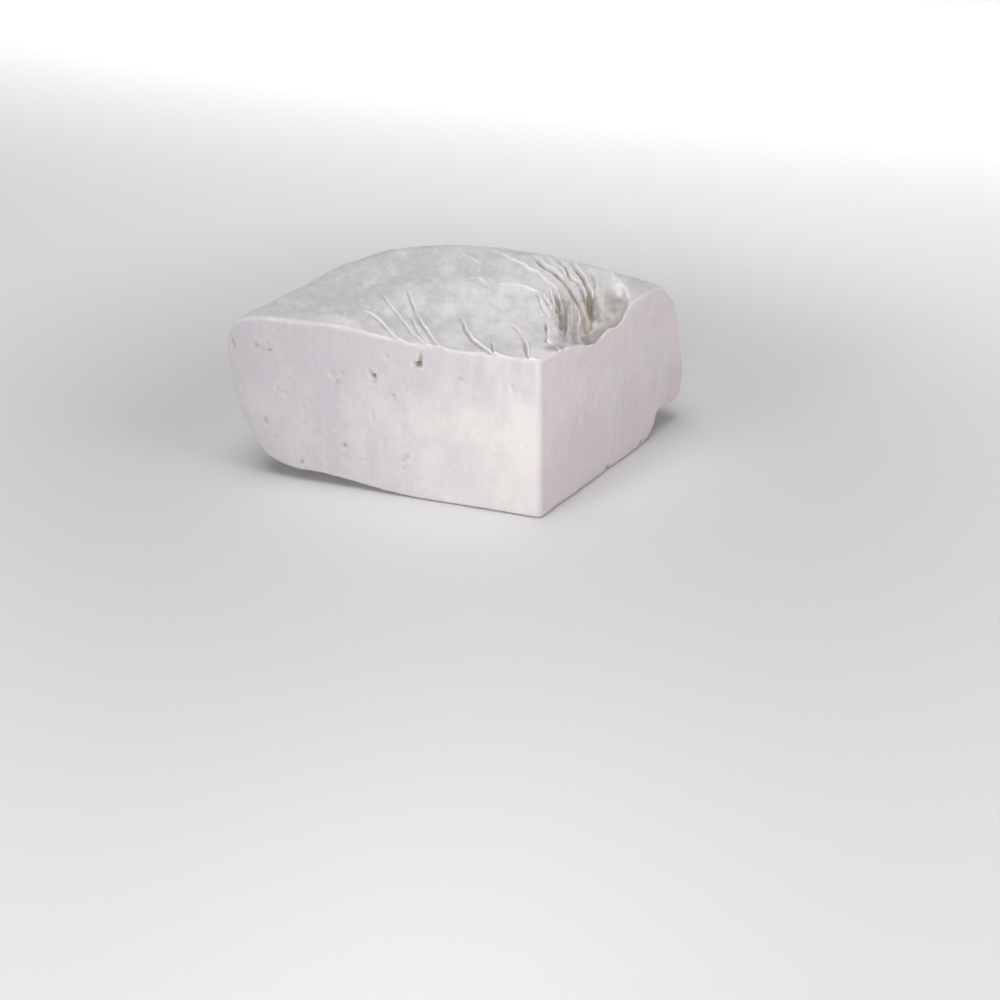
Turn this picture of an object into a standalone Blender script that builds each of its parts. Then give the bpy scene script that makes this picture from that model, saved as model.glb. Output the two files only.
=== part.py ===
"""A wedge of white brined cheese, cut from a round wheel that was pressed in a cloth.

The wedge has two flat cut faces that meet at a near vertical edge, a top rind marked by the folds of
the cloth, a rounded rim that tapers in below, and a base that rises a little towards the rim.
Every length is in millimetres, measured from the lower end of the edge where the cuts meet, with the
left cut along -X. The finished mesh is in metres, with its origin under the middle of its box.
"""
import math

import bpy
import numpy as np
from mathutils import Vector, noise
from mathutils.geometry import delaunay_2d_cdt

MM = 0.001

# Wheel and wedge
CUT_HEIGHT = 70.0              # height of the edge where the two cuts meet
WEDGE_ANGLE = 108.3            # degrees between the two cut faces
EDGE_LEAN = 1.5                # how far the top of that edge stands towards -X
WHEEL_CENTRE = (-25.3, 14.6)   # the cuts meet a little past the wheel's centre
WHEEL_RADIUS = 112.5
BACK_BULGE = (14.0, 124.0, 28.0)     # extra radius, its direction and its spread in degrees
SIDE_FLAT = (-5.0, 168.0, 14.0)      # the flatter stretch beside the left cut
LEFT_LENGTH = 136.0            # length of the left cut, and of the right one below
RIGHT_LENGTH = 115.0
LEFT_END = 187.0               # direction of the left cut's outer end, seen from the wheel's centre
RIGHT_END = 57.0               # direction of the right cut's outer end

# Vertical profile of the rim as (distance in from the widest point, height), from the top sheet's edge
# over the shoulder and down to the base. The three share their number of points.
PROFILE_LEFT = ((26, 73.1), (14, 72.6), (7.1, 71.0), (2.2, 65.5), (0, 56), (1.4, 39),
                (5.5, 23.5), (12, 12), (17, 8.0), (21, 6.5), (25, 5.6), (30, 5.0))
PROFILE_RIGHT = ((34, 71.8), (24.5, 71.0), (17.5, 66.6), (11.5, 59.8), (7.5, 51), (4.6, 38),
                 (0.3, 26), (1.0, 13), (6, 4.5), (12, 1.8), (18, 0.8), (26, 0.3))
PROFILE_CHIPPED = ((34, 71.8), (24.5, 71.0), (17.5, 66.6), (11.5, 59.8), (7.5, 51), (4.6, 38),
                   (0.3, 26), (0.9, 16), (3.5, 12.6), (21.5, 11.8), (24.5, 3.6), (32, 0.0))
CHIP_ENDS = (88.0, 66.0)       # directions where the broken lower edge starts and is full
BROKEN_FROM = 7.2              # profile point from which the broken ledge is rough

# Top: a sunk middle inside a raised ring, and dents as (x, y, radius along, radius across, turn, depth)
RING_RISE = 3.6
RING_START = 25.0
RING_FULL = 65.0
SHOULDER_FALL = 0.8
TOP_DENTS = (
    (12.5, 36.0, 13.0, 15.0, 71.7, -6.2),
    (18.5, 53.5, 6.5, 12.0, 71.7, -4.2),
    (-100.0, 50.0, 26.0, 16.0, 60.0, -1.4),
    (-112.0, 14.0, 9.0, 6.0, 20.0, -0.8),
    (-52.0, 62.0, 20.0, 14.0, 130.0, -0.9),
    (-30.0, 24.0, 12.0, 8.0, 120.0, -0.8),
    (-88.0, 8.0, 12.0, 6.0, 0.0, 0.6),
    (-2.0, 96.0, 26.0, 18.0, 0.0, -1.3),
    (-92.0, 92.0, 26.0, 18.0, 45.0, 1.2),
    (13.0, 63.0, 11.0, 4.5, 104.0, -2.6),
)

# Cloth folds as (groove depth, lip height, half width, route). The groove runs along the right of its
# route, looking from the first point to the last, and the lip along the left. Past the shoulder a
# route runs on over the unrolled rim, where distance from the centre is distance down the side.
LEFT_CREASES = (
    (0.55, 0.45, 1.3, ((-84, 21), (-79, 18), (-72, 13), (-65, 6), (-56, -2))),
    (0.55, 0.45, 1.3, ((-85, 43), (-80, 36), (-70, 25), (-59, 12), (-48, 1), (-43, -4))),
    (0.55, 0.45, 1.3, ((-71, 58), (-74, 52), (-73, 46), (-66, 34), (-59, 23), (-49, 9), (-39, -4))),
    (0.55, 0.45, 1.2, ((-66, 27), (-63, 23), (-56, 13), (-48, 2), (-45, -2))),
    (0.7, 0.5, 1.4, ((-48, 38), (-46, 35), (-41, 26), (-34, 14), (-28, 8), (-22, 2), (-13, -5))),
    (0.6, 0.4, 1.2, ((-26, 16), (-25, 13), (-22, 6), (-18, -3))),
    (0.7, 0.5, 1.4, ((-24, 36), (-22, 32), (-16, 23), (-10, 11), (-4, -4))),
    (0.45, 0.3, 1.2, ((-9, 15), (-8, 12), (-6, 3))),
)
GATHERED_CREASES = (
    (0.6, 0.6, 1.4, ((-20, 60), (-19, 56), (-16, 52), (-13, 47), (-10, 42))),
    (1.3, 0.6, 1.6, ((-14, 68), (-12, 62), (-9, 55), (-7, 50), (-5, 45), (-4, 41), (-3, 36))),
    (1.0, 0.6, 1.5, ((-10, 42), (-9, 37), (-7, 30), (-5, 24), (-4, 18))),
    (0.8, 0.3, 1.6, ((-6, 20), (-1, 17), (4, 11))),
)
BACK_FOLDS = (
    (0.6, 0.8, 1.8, ((-74, 122), (-64, 113), (-56, 106), (-50, 103), (-44, 97), (-37, 91), (-33, 87),
                     (-28, 84), (-22, 77), (-16, 70), (-13, 65))),
    (1.7, 0.9, 2.0, ((-44, 120), (-37, 109), (-31, 99), (-26, 92), (-21, 88), (-17, 83), (-13, 78),
                     (-9, 71), (-5, 64), (-1, 57), (2, 52), (5, 47), (8, 38))),
    (1.3, 0.7, 2.0, ((-28, 117), (-24, 107), (-21, 101), (-16, 92), (-11, 82), (-7, 78), (-3, 70),
                     (0, 63), (3, 57))),
    (1.8, 1.0, 2.1, ((-25, 121), (-20, 111), (-17, 105), (-12, 95), (-7, 86), (-3, 76), (0, 69),
                     (3, 62), (5, 55), (8, 48))),
    (0.8, 0.7, 2.0, ((-15, 115), (-12, 108), (-10, 102), (-5, 93), (-1, 83), (3, 69))),
    (0.6, 0.8, 2.2, ((-1, 104), (3, 93), (9, 78), (13, 67), (16, 61))),
    (0.5, 0.7, 1.9, ((8, 84), (13, 74), (18, 63))),
)
RIGHT_GROOVES = (
    (0.8, 0.3, 1.5, ((-8, 62), (-3, 45), (1, 28))),
    (1.3, 0.0, 2.0, ((16, 63), (17, 56), (15, 48), (13, 42), (10, 34))),
)
FOLDS = LEFT_CREASES + GATHERED_CREASES + BACK_FOLDS + RIGHT_GROOVES
SHOULDER_CALM = (78.0, 99.0, 0.12)  # folds weaken to this share between these distances

# Folds down the unseen side of the rim: direction, lean in degrees per 100 mm, depth and half width
RIM_FOLDS = ((64, 4, 1.4, 3.0), (73, -5, 1.0, 2.4), (99, 6, 0.9, 3.2), (112, -4, 1.5, 3.0),
             (121, 7, 0.9, 2.6), (133, 3, 1.5, 3.4), (142, -6, 0.9, 2.4), (154, 5, 1.2, 3.0),
             (163, -4, 0.7, 2.6), (174, 3, 1.0, 2.6))
RIM_FOLD_START = 101.0         # unrolled distance from the centre where these folds fade in
RIM_FOLD_FULL = 124.0

# Gathered cloth near the middle: centre, radii, turn in degrees and height of the lumps
GATHER = (-7.0, 42.0, 26.0, 9.0, 106.0, 1.0)
LUMPS = ((0.55, 21.0), (0.22, 8.0))  # height and size of the soft unevenness of the rind

# Base
FLAT_RADIUS = (70.0, 32.0)     # flat out to here at the back, and towards the left cut's outer end
FLAT_TURN = (150.0, 184.0)     # directions between which the flat area narrows

# Open holes in the left cut as (x, height, half width, half height, depth)
LEFT_HOLES = (
    (-49.7, 64.4, 0.9, 2.6, 1.6),
    (-50.2, 61.6, 1.8, 1.0, 2.4),
    (-71.8, 55.0, 1.4, 0.9, 1.7),
    (-70.0, 53.0, 1.2, 1.3, 2.2),
    (-132.6, 59.5, 0.7, 2.6, 1.2),
    (-121.4, 59.8, 1.6, 2.2, 1.3),
    (-116.6, 60.4, 1.3, 1.9, 1.6),
    (-89.6, 52.0, 2.0, 1.6, 0.8),
    (-86.2, 49.4, 1.3, 1.2, 0.9),
    (-85.5, 20.0, 0.9, 1.8, 1.6),
    (-105.6, 9.4, 1.0, 1.1, 1.3),
    (-57.8, 18.4, 1.6, 1.5, 1.0),
    (-121.3, 26.4, 0.8, 2.0, 1.5),
    (-114.2, 42.3, 0.9, 1.8, 1.0),
    (-61.4, 46.8, 1.0, 1.0, 0.8),
    (-33.6, 57.7, 1.4, 0.6, 0.8),
)
RIGHT_HOLES = (
    (28.6, 33.9, 1.2, 1.4, 0.6),
    (52.0, 1.2, 2.2, 1.6, 1.6),
    (80.5, 1.4, 2.6, 2.0, 1.6),
)
CUT_WOBBLE = 0.5               # how far a cut face strays from flat
WOBBLE_SIZE = 26.0
WOBBLE_START = 12.0            # the wobble fades in over this distance from the edge between the cuts

# Resolution
EDGE_STEP = 3.0                # spacing of points along the cuts' edges
COLUMNS = 78                   # columns round the rim
ROWS_A_POINT = 2               # rows of the rim for each profile point
TOP_STEP = 3.1                 # spacing of points in the folded part of the top
FOLD_STEP = 2.0                # spacing of points along a fold
CROWDED = 0.95                 # fold points nearer to each other than this are left out
NARROW_ROWS = (0.55, -0.95, 2.0, -2.4)      # rows of points beside a fold, in half widths
WIDE_ROWS = (0.55, -0.95, 2.0, -2.4, -0.2, 1.25, -1.7)
CUT_STEP = 7.5                 # spacing of points on the cut faces
BASE_STEP = 11.0


def ease(t):
    """Smooth step from 0 to 1."""
    t = np.clip(t, 0.0, 1.0)
    return t * t * (3.0 - 2.0 * t)


def lumps(x, y, size):
    """Soft noise between about -1 and 1 at the given size, for arrays of points."""
    flat = zip(np.ravel(x), np.ravel(y))
    values = [noise.noise(Vector((a / size, b / size, size))) for a, b in flat]
    return np.array(values).reshape(np.shape(x))


# Directions and the wheel's outline

RIGHT_AZIMUTH = math.radians(WEDGE_ANGLE - 90.0)
RIGHT_WAY = np.array((math.sin(RIGHT_AZIMUTH), math.cos(RIGHT_AZIMUTH)))
RIGHT_OUT = np.array((math.cos(RIGHT_AZIMUTH), -math.sin(RIGHT_AZIMUTH)))
CENTRE = np.array(WHEEL_CENTRE)


def polar(x, y):
    """Distance and direction in degrees, 0 to 360, from the wheel's centre."""
    dx, dy = x - CENTRE[0], y - CENTRE[1]
    return np.hypot(dx, dy), np.degrees(np.arctan2(dy, dx)) % 360.0


def bump(value, shape):
    height, middle, spread = shape
    return height * np.exp(-((value - middle) / spread) ** 2)


def rim_radius(direction):
    """The wheel's widest radius in each direction."""
    return WHEEL_RADIUS + bump(direction, BACK_BULGE) + bump(direction, SIDE_FLAT)


def end_directions(radius):
    """Directions in which a circle of this radius about the centre meets the left and right cuts."""
    left = 180.0 + np.degrees(np.arcsin(CENTRE[1] / radius))
    along = CENTRE @ RIGHT_WAY
    reach = along + np.sqrt(along ** 2 + radius ** 2 - CENTRE @ CENTRE)
    x, y = reach * RIGHT_WAY[0], reach * RIGHT_WAY[1]
    return left, polar(x, y)[1]


# Profile of the rim

def profile_points(direction):
    """The profile's points in each direction, mixed from the left, right and chipped profiles."""
    right = np.clip((LEFT_END - direction) / (LEFT_END - RIGHT_END), 0, 1)[:, None, None]
    chip = ease((CHIP_ENDS[0] - direction) / (CHIP_ENDS[0] - CHIP_ENDS[1]))[:, None, None]
    left_points = np.array(PROFILE_LEFT, float)[None]
    right_points = (1 - chip) * np.array(PROFILE_RIGHT)[None] + chip * np.array(PROFILE_CHIPPED)[None]
    return (1 - right) * left_points + right * right_points


def curve(points, place):
    """Smooth curve through points (columns, n, 2) at the places 0 to n - 1."""
    step = np.diff(points, axis=1)
    length = np.linalg.norm(step, axis=2, keepdims=True)
    way = step / length
    ahead = np.concatenate((way[:, :1], way[:, :-1] + way[:, 1:], way[:, -1:]), axis=1)
    ahead = ahead / np.linalg.norm(ahead, axis=2, keepdims=True)
    index = np.minimum(place.astype(int), points.shape[1] - 2)
    t = (place - index)[None, :, None]
    size = length[:, index]
    return ((1 + 2 * t) * (1 - t) ** 2 * points[:, index] + t * (1 - t) ** 2 * size * ahead[:, index]
            + t * t * (3 - 2 * t) * points[:, index + 1] + t * t * (t - 1) * size * ahead[:, index + 1])


# Top and base

def top_height(x, y):
    """Height of the top without its folds."""
    radius, _ = polar(x, y)
    height = CUT_HEIGHT + RING_RISE * ease((radius - RING_START) / (RING_FULL - RING_START))
    height = height - SHOULDER_FALL * ease((radius - 80.0) / 25.0)
    for cx, cy, along, across, turn, depth in TOP_DENTS:
        c, s = math.cos(math.radians(turn)), math.sin(math.radians(turn))
        u = ((x - cx) * c + (y - cy) * s) / along
        v = ((y - cy) * c - (x - cx) * s) / across
        height = height + depth * np.exp(-u * u - v * v)
    return height


def side_of_route(x, y, route):
    """Signed distance to a route (positive on its right) and the share of the route passed."""
    best = np.full(np.shape(x), 1e9)
    side = np.ones(np.shape(x))
    passed = np.zeros(np.shape(x))
    points = np.array(route, float)
    lengths = np.linalg.norm(np.diff(points, axis=0), axis=1)
    starts = np.concatenate(([0.0], np.cumsum(lengths)))
    for (ax, ay), (bx, by), length, start in zip(points[:-1], points[1:], lengths, starts):
        ux, uy = (bx - ax) / length, (by - ay) / length
        t = np.clip((x - ax) * ux + (y - ay) * uy, 0, length)
        dx, dy = x - ax - t * ux, y - ay - t * uy
        distance = np.hypot(dx, dy)
        nearer = distance < best
        best = np.where(nearer, distance, best)
        side = np.where(nearer, np.sign(dx * uy - dy * ux), side)
        passed = np.where(nearer, (start + t) / starts[-1], passed)
    return best * side, passed


def fold_relief(x, y):
    """Grooves and lips of the cloth's folds."""
    relief = np.zeros(np.shape(x))
    for groove, lip, width, route in FOLDS:
        aside, passed = side_of_route(x, y, route)
        fade = ease(passed / 0.16) * ease((1.0 - passed) / 0.06)
        relief = relief - groove * fade * np.exp(-((aside - 0.55 * width) / (0.9 * width)) ** 2)
        relief = relief + lip * fade * np.exp(-((aside + 0.95 * width) / width) ** 2)
    start, full, share = SHOULDER_CALM
    radius, _ = polar(x, y)
    return relief * (1.0 - (1.0 - share) * ease((radius - start) / (full - start)))


def rim_relief(x, y):
    """Folds that run down the side, over the unrolled rim."""
    radius, direction = polar(x, y)
    fade = ease((radius - RIM_FOLD_START) / (RIM_FOLD_FULL - RIM_FOLD_START))
    relief = np.zeros(np.shape(x))
    for middle, lean, depth, width in RIM_FOLDS:
        aside = np.radians(direction - middle - lean * (radius - 140.0) / 100.0) * WHEEL_RADIUS
        relief = relief - depth * fade * np.exp(-((aside + 0.6 * width) / width) ** 2)
        relief = relief + 0.7 * depth * fade * np.exp(-((aside - 0.9 * width) / width) ** 2)
    return relief


def gather_relief(x, y):
    """Lumps where the cloth was gathered."""
    cx, cy, along, across, turn, height = GATHER
    c, s = math.cos(math.radians(turn)), math.sin(math.radians(turn))
    u, v = (x - cx) * c + (y - cy) * s, (y - cy) * c - (x - cx) * s
    inside = np.exp(-(u / along) ** 4 - (v / across) ** 4)
    return height * inside * lumps(u * 0.55, v * 1.3, 3.4)


def relief(x, y):
    """Everything that the cloth left on the top and the rim, over the unrolled rind."""
    total = fold_relief(x, y) + rim_relief(x, y) + gather_relief(x, y)
    for height, size in LUMPS:
        total = total + height * lumps(x, y, size)
    return total


def top_point(x, y):
    return top_height(x, y) + relief(x, y)


def base_height(x, y):
    """Height of the base: flat in the middle, rising towards the rim's lower edge."""
    radius, direction = polar(x, y)
    toward = np.clip(np.ravel(direction), RIGHT_END, LEFT_END)
    toward = np.where((np.ravel(direction) > 270.0), RIGHT_END, toward)
    last = profile_points(toward)[:, -1]
    edge = (rim_radius(toward) - last[:, 0]).reshape(np.shape(x))
    lift = last[:, 1].reshape(np.shape(x))
    turn = ease((direction - FLAT_TURN[0]) / (FLAT_TURN[1] - FLAT_TURN[0]))
    turn = np.where(direction > 270.0, 0.0, turn)
    flat = FLAT_RADIUS[0] + (FLAT_RADIUS[1] - FLAT_RADIUS[0]) * turn
    return lift * ease((radius - flat) / (edge - flat))


# Cut faces

def edge_x(height):
    """How far the leaning edge between the cuts stands from the vertical."""
    return -EDGE_LEAN * height / CUT_HEIGHT


def holes(u, v, table):
    depth = np.zeros(np.shape(u))
    for cu, cv, half_u, half_v, deep in table:
        away = ((u - cu) / half_u) ** 2 + ((v - cv) / half_v) ** 2
        depth = depth + deep * np.exp(-away ** 1.3)
    return depth


def left_face(reach, height, with_holes=True):
    """Point of the left cut at a distance from the edge and a height."""
    out = CUT_WOBBLE * lumps(reach * 0.6, height, WOBBLE_SIZE) * ease(reach / WOBBLE_START)
    if with_holes:
        out = out - holes(-reach, height, LEFT_HOLES)
    return np.stack((-reach + edge_x(height) * (1 - reach / LEFT_LENGTH), -out, height), -1)


def right_face(reach, height, with_holes=True):
    """Point of the right cut at a distance from the edge and a height."""
    out = CUT_WOBBLE * lumps(reach * 0.6 + 90.0, height, WOBBLE_SIZE) * ease(reach / WOBBLE_START)
    if with_holes:
        out = out - holes(reach, height, RIGHT_HOLES)
    lean = edge_x(height) * (1 - reach / RIGHT_LENGTH)
    x = reach * RIGHT_WAY[0] + RIGHT_OUT[0] * out + lean
    y = reach * RIGHT_WAY[1] + RIGHT_OUT[1] * out
    return np.stack((x, y, height), -1)


# The rim as a grid, and the edges that its neighbours share

def rim_grid():
    """Points of the rim (columns, rows, 3), its first column in the left cut, its last in the right."""
    places = np.linspace(0, len(PROFILE_LEFT) - 1, ROWS_A_POINT * (len(PROFILE_LEFT) - 1) + 1)
    share = np.linspace(0, 1, COLUMNS)
    middle = LEFT_END + (RIGHT_END - LEFT_END) * share
    section = curve(profile_points(middle), places)
    radius = rim_radius(middle)[:, None] - section[:, :, 0]
    first, last = end_directions(radius)
    direction = np.radians(first + (last - first) * share[:, None])
    way = np.stack((np.cos(direction), np.sin(direction)), -1)

    start = CENTRE + radius[:, :1, None] * way[:, :1]
    rise = top_height(start[..., 0], start[..., 1]) - section[:, :1, 1]
    height = section[:, :, 1] + rise * ease(1 - places / 4.0)[None]

    slope_r, slope_z = np.gradient(radius, axis=1), np.gradient(height, axis=1)
    size = np.hypot(slope_r, slope_z)
    out_r, out_z = -slope_z / size, slope_r / size
    out_r[:, 0], out_z[:, 0] = 0.0, 1.0

    passed = np.hypot(np.diff(radius, axis=1), np.diff(height, axis=1)).cumsum(axis=1)
    unrolled = radius[:, :1] + np.concatenate((np.zeros((COLUMNS, 1)), passed), axis=1)
    x, y = CENTRE[0] + unrolled * way[..., 0], CENTRE[1] + unrolled * way[..., 1]
    settle = ease((len(PROFILE_LEFT) - 1.6 - places) / 3.0)[None]
    push = relief(x, y) * settle + broken_relief(x, y, middle, places)
    radius, height = radius + push * out_r, height + push * out_z
    grid = np.concatenate((CENTRE + radius[..., None] * way, height[..., None]), -1)
    grid[:, -1, 2] = base_height(grid[:, -1, 0], grid[:, -1, 1])

    grid[0] = left_face(-grid[0, :, 0], grid[0, :, 2], False)
    grid[-1] = right_face(grid[-1, :, :2] @ RIGHT_WAY, grid[-1, :, 2], False)
    return grid


def broken_relief(x, y, direction, places):
    """Rough break of the chipped lower edge."""
    share = ease((CHIP_ENDS[0] - direction) / (CHIP_ENDS[0] - CHIP_ENDS[1]))[:, None]
    low = ease((places - BROKEN_FROM) / 0.8)[None] * ease((len(PROFILE_LEFT) - 1.3 - places) / 0.7)[None]
    return 1.3 * share * low * (lumps(x, y, 5.0) + 0.5 * lumps(x, y, 2.3))


def between(start, end, step):
    """Evenly spaced distances from start to end, both left out."""
    count = max(int(round(abs(end - start) / step)), 2)
    return np.linspace(start, end, count + 1)[1:-1]


def top_edge(face, end):
    """Points where a cut face meets the top, from the edge between the cuts out to the rim."""
    reach = between(0.0, end, EDGE_STEP)
    flat = face(reach, np.full(len(reach), CUT_HEIGHT), False)
    return face(reach, top_point(flat[:, 0], flat[:, 1]), False)


def base_edge(face, end):
    """Points where a cut face meets the base, from the edge between the cuts out to the rim."""
    reach = between(0.0, end, 2 * EDGE_STEP)
    flat = face(reach, np.zeros(len(reach)), False)
    return face(reach, base_height(flat[:, 0], flat[:, 1]), False)


def cut_edge():
    """The edge between the cuts, from the base to the top."""
    top = top_point(np.array([edge_x(CUT_HEIGHT)]), np.array([0.0]))[0]
    height = np.concatenate(([0.0], between(0.0, top, 2 * EDGE_STEP), [top]))
    return left_face(np.zeros(len(height)), height, False)


# Sheets of triangles

def inside(points, loop, margin):
    """Which points lie in a closed loop, at least a margin away from it."""
    keep = np.zeros(len(points), bool)
    near = np.full(len(points), 1e9)
    for (ax, ay), (bx, by) in zip(loop, np.roll(loop, -1, axis=0)):
        x, y = points[:, 0], points[:, 1]
        if ay != by:
            crosses = ((ay > y) != (by > y)) & (x < ax + (bx - ax) * (y - ay) / (by - ay))
            keep ^= crosses
        length = max(math.hypot(bx - ax, by - ay), 1e-9)
        t = np.clip(((x - ax) * (bx - ax) + (y - ay) * (by - ay)) / length, 0, length)
        near = np.minimum(near, np.hypot(x - ax - t * (bx - ax) / length, y - ay - t * (by - ay) / length))
    return keep & (near > margin)


def honeycomb(loop, step, fine=None):
    """Points of a triangular grid over a loop. Where fine(x, y) is false only every second stays."""
    low, high = loop.min(axis=0), loop.max(axis=0)
    rows = int((high[1] - low[1]) / (step * 0.866)) + 1
    across = int((high[0] - low[0]) / step) + 1
    i, j = np.meshgrid(np.arange(across + 1), np.arange(rows + 1))
    x = low[0] + step * (i + 0.5 * (j % 2))
    y = low[1] + step * 0.866 * j
    keep = np.ones(i.shape, bool)
    if fine is not None:
        coarse = (j % 2 == 0) & ((i + (j // 2) % 2) % 2 == 0)
        keep = coarse | fine(x, y)
    return np.stack((x[keep], y[keep]), -1)


def thin_out(features, points, distance):
    """Grid points that keep a distance from the feature points."""
    if not len(features):
        return points
    free = np.ones(len(points), bool)
    for feature in features:
        free &= np.hypot(points[:, 0] - feature[0], points[:, 1] - feature[1]) > distance
    return points[free]


def spread(points, distance):
    """Points in order, without those that crowd an earlier one."""
    kept = []
    for point in points:
        if all(math.hypot(point[0] - q[0], point[1] - q[1]) > distance for q in kept):
            kept.append(point)
    return np.array(kept)


class Shell:
    """Triangles of all the sheets. Points that two sheets share become one vertex."""

    def __init__(self):
        self.points = []
        self.faces = []
        self.index = {}

    def vertex(self, point):
        key = tuple(round(float(value), 5) for value in point)
        if key not in self.index:
            self.index[key] = len(self.points)
            self.points.append(key)
        return self.index[key]

    def face(self, corners, flip):
        ids = [self.vertex(corner) for corner in corners]
        if len(set(ids)) == 3:
            self.faces.append(ids[::-1] if flip else ids)

    def sheet(self, flat_loop, loop, flat_inner, inner, flip):
        """A flat loop and inner points, triangulated and laid on their points in space."""
        flat = [Vector(point) for point in np.concatenate((flat_loop, flat_inner))]
        solid = np.concatenate((loop, inner))
        outline = [list(range(len(flat_loop)))]
        _, _, faces, origin, _, _ = delaunay_2d_cdt(flat, [], outline, 1, 1e-6)
        for face in faces:
            self.face([solid[origin[corner][0]] for corner in face], flip)

    def grid(self, grid):
        for a, b in zip(grid[:-1], grid[1:]):
            for p, q, r, s in zip(a[:-1], a[1:], b[1:], b[:-1]):
                if np.linalg.norm(p - r) < np.linalg.norm(q - s):
                    self.face((p, q, r), True)
                    self.face((p, r, s), True)
                else:
                    self.face((p, q, s), True)
                    self.face((q, r, s), True)


def fold_points():
    """Rows of points along the crest, the groove and the foot of each fold."""
    rows = []
    for groove, lip, width, route in sorted(FOLDS, key=lambda fold: -fold[0]):
        points = np.array(route, float)
        steps = np.diff(points, axis=0)
        lengths = np.linalg.norm(steps, axis=1)
        starts = np.concatenate(([0.0], np.cumsum(lengths)))
        for place in np.arange(0.0, starts[-1], FOLD_STEP):
            k = min(int(np.searchsorted(starts, place, side="right")) - 1, len(steps) - 1)
            way = steps[k] / lengths[k]
            point = points[k] + (place - starts[k]) * way
            right = np.array((way[1], -way[0]))
            for aside in WIDE_ROWS if width > 1.8 else NARROW_ROWS:
                rows.append(point + right * aside * width)
    return np.array(rows)


def hole_points(table):
    """A centre and two rings of points for each hole."""
    points = []
    for cu, cv, half_u, half_v, _ in table:
        points.append((cu, cv))
        for ring in (0.75, 1.5, 2.4):
            for k in range(6):
                turn = math.radians(60 * k + 40 * ring)
                points.append((cu + half_u * ring * math.cos(turn), cv + half_v * ring * math.sin(turn)))
    return spread(points, 0.5)


def folded(x, y):
    """The part of the top near the folds, which has finer triangles."""
    return (np.hypot(x + 2, y - 62) < 52) | (np.abs(x + 30 + 0.9 * (y - 10)) < 42)


def cut_sheet(shell, face, sign, table, edge, top, rim, base, flip):
    """A cut face between the cuts' edge, the top, the rim and the base."""
    loop = np.concatenate((edge, top, rim, base[::-1]))
    flat_loop = np.stack((face_reach(loop, sign), loop[:, 2]), -1)
    marks = hole_points([(abs(hole[0]),) + tuple(hole[1:]) for hole in table])
    marks = marks[inside(marks, flat_loop, 0.6)]
    field = honeycomb(flat_loop, CUT_STEP)
    field = thin_out(marks, field[inside(field, flat_loop, 0.45 * CUT_STEP)], 0.5 * CUT_STEP)
    flat_inner = np.concatenate((marks, field))
    shell.sheet(flat_loop, loop, flat_inner, face(flat_inner[:, 0], flat_inner[:, 1]), flip)


def face_reach(points, sign):
    """Distance of a cut face's points from the edge between the cuts."""
    lean = edge_x(points[:, 2])
    if sign < 0:
        return (lean - points[:, 0]) / (1 + lean / LEFT_LENGTH)
    along = points[:, :2] @ RIGHT_WAY
    return (along - lean * RIGHT_WAY[0]) / (1 - lean * RIGHT_WAY[0] / RIGHT_LENGTH)


def build_shell():
    shell = Shell()
    rim = rim_grid()
    edge = cut_edge()
    left_ends = face_reach(rim[0, [0, -1]], -1)
    right_ends = face_reach(rim[-1, [0, -1]], 1)
    left_top, left_base = top_edge(left_face, left_ends[0]), base_edge(left_face, left_ends[1])
    right_top, right_base = top_edge(right_face, right_ends[0]), base_edge(right_face, right_ends[1])
    shell.grid(rim)

    cut_sheet(shell, left_face, -1, LEFT_HOLES, edge, left_top, rim[0], left_base, True)
    cut_sheet(shell, right_face, 1, RIGHT_HOLES, edge, right_top, rim[-1], right_base, False)

    loop = np.concatenate((edge[-1:], right_top, rim[::-1, 0], left_top[::-1]))
    rows = fold_points()
    rows = spread(rows[inside(rows, loop[:, :2], 0.9)], CROWDED)
    field = honeycomb(loop[:, :2], TOP_STEP, folded)
    field = thin_out(rows, field[inside(field, loop[:, :2], 0.5 * TOP_STEP)], 0.62 * TOP_STEP)
    flat = np.concatenate((rows, field))
    inner = np.column_stack((flat, top_point(flat[:, 0], flat[:, 1])))
    shell.sheet(loop[:, :2], loop, flat, inner, False)

    loop = np.concatenate((edge[:1], right_base, rim[::-1, -1], left_base[::-1]))
    field = honeycomb(loop[:, :2], BASE_STEP)
    flat = field[inside(field, loop[:, :2], 0.4 * BASE_STEP)]
    inner = np.column_stack((flat, base_height(flat[:, 0], flat[:, 1])))
    shell.sheet(loop[:, :2], loop, flat, inner, True)
    return shell


# Scene

def clear_scene():
    for item in list(bpy.data.objects):
        bpy.data.objects.remove(item, do_unlink=True)


def cheese_material():
    material = bpy.data.materials.new("white cheese")
    material.use_nodes = True
    shader = material.node_tree.nodes["Principled BSDF"]
    shader.inputs["Base Color"].default_value = (0.82, 0.81, 0.78, 1.0)
    shader.inputs["Roughness"].default_value = 0.55
    shader.inputs["Metallic"].default_value = 0.0
    return material


def build_cheese():
    """The wedge as one closed mesh, its origin under the middle of its box."""
    shell = build_shell()
    points = np.array(shell.points)
    low, high = points.min(axis=0), points.max(axis=0)
    points = (points - np.array(((low[0] + high[0]) / 2, (low[1] + high[1]) / 2, 0.0))) * MM
    mesh = bpy.data.meshes.new("cheese")
    mesh.from_pydata(points.tolist(), [], shell.faces)
    mesh.validate()
    mesh.update()
    mesh.shade_smooth()
    mesh.set_sharp_from_angle(angle=math.radians(40))
    mesh.materials.append(cheese_material())
    cheese = bpy.data.objects.new("cheese", mesh)
    bpy.context.scene.collection.objects.link(cheese)
    return cheese


clear_scene()
build_cheese()
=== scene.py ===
import math

import bpy
import numpy as np
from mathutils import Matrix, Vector, noise
from mathutils.geometry import delaunay_2d_cdt
from mathutils.kdtree import KDTree


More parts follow.
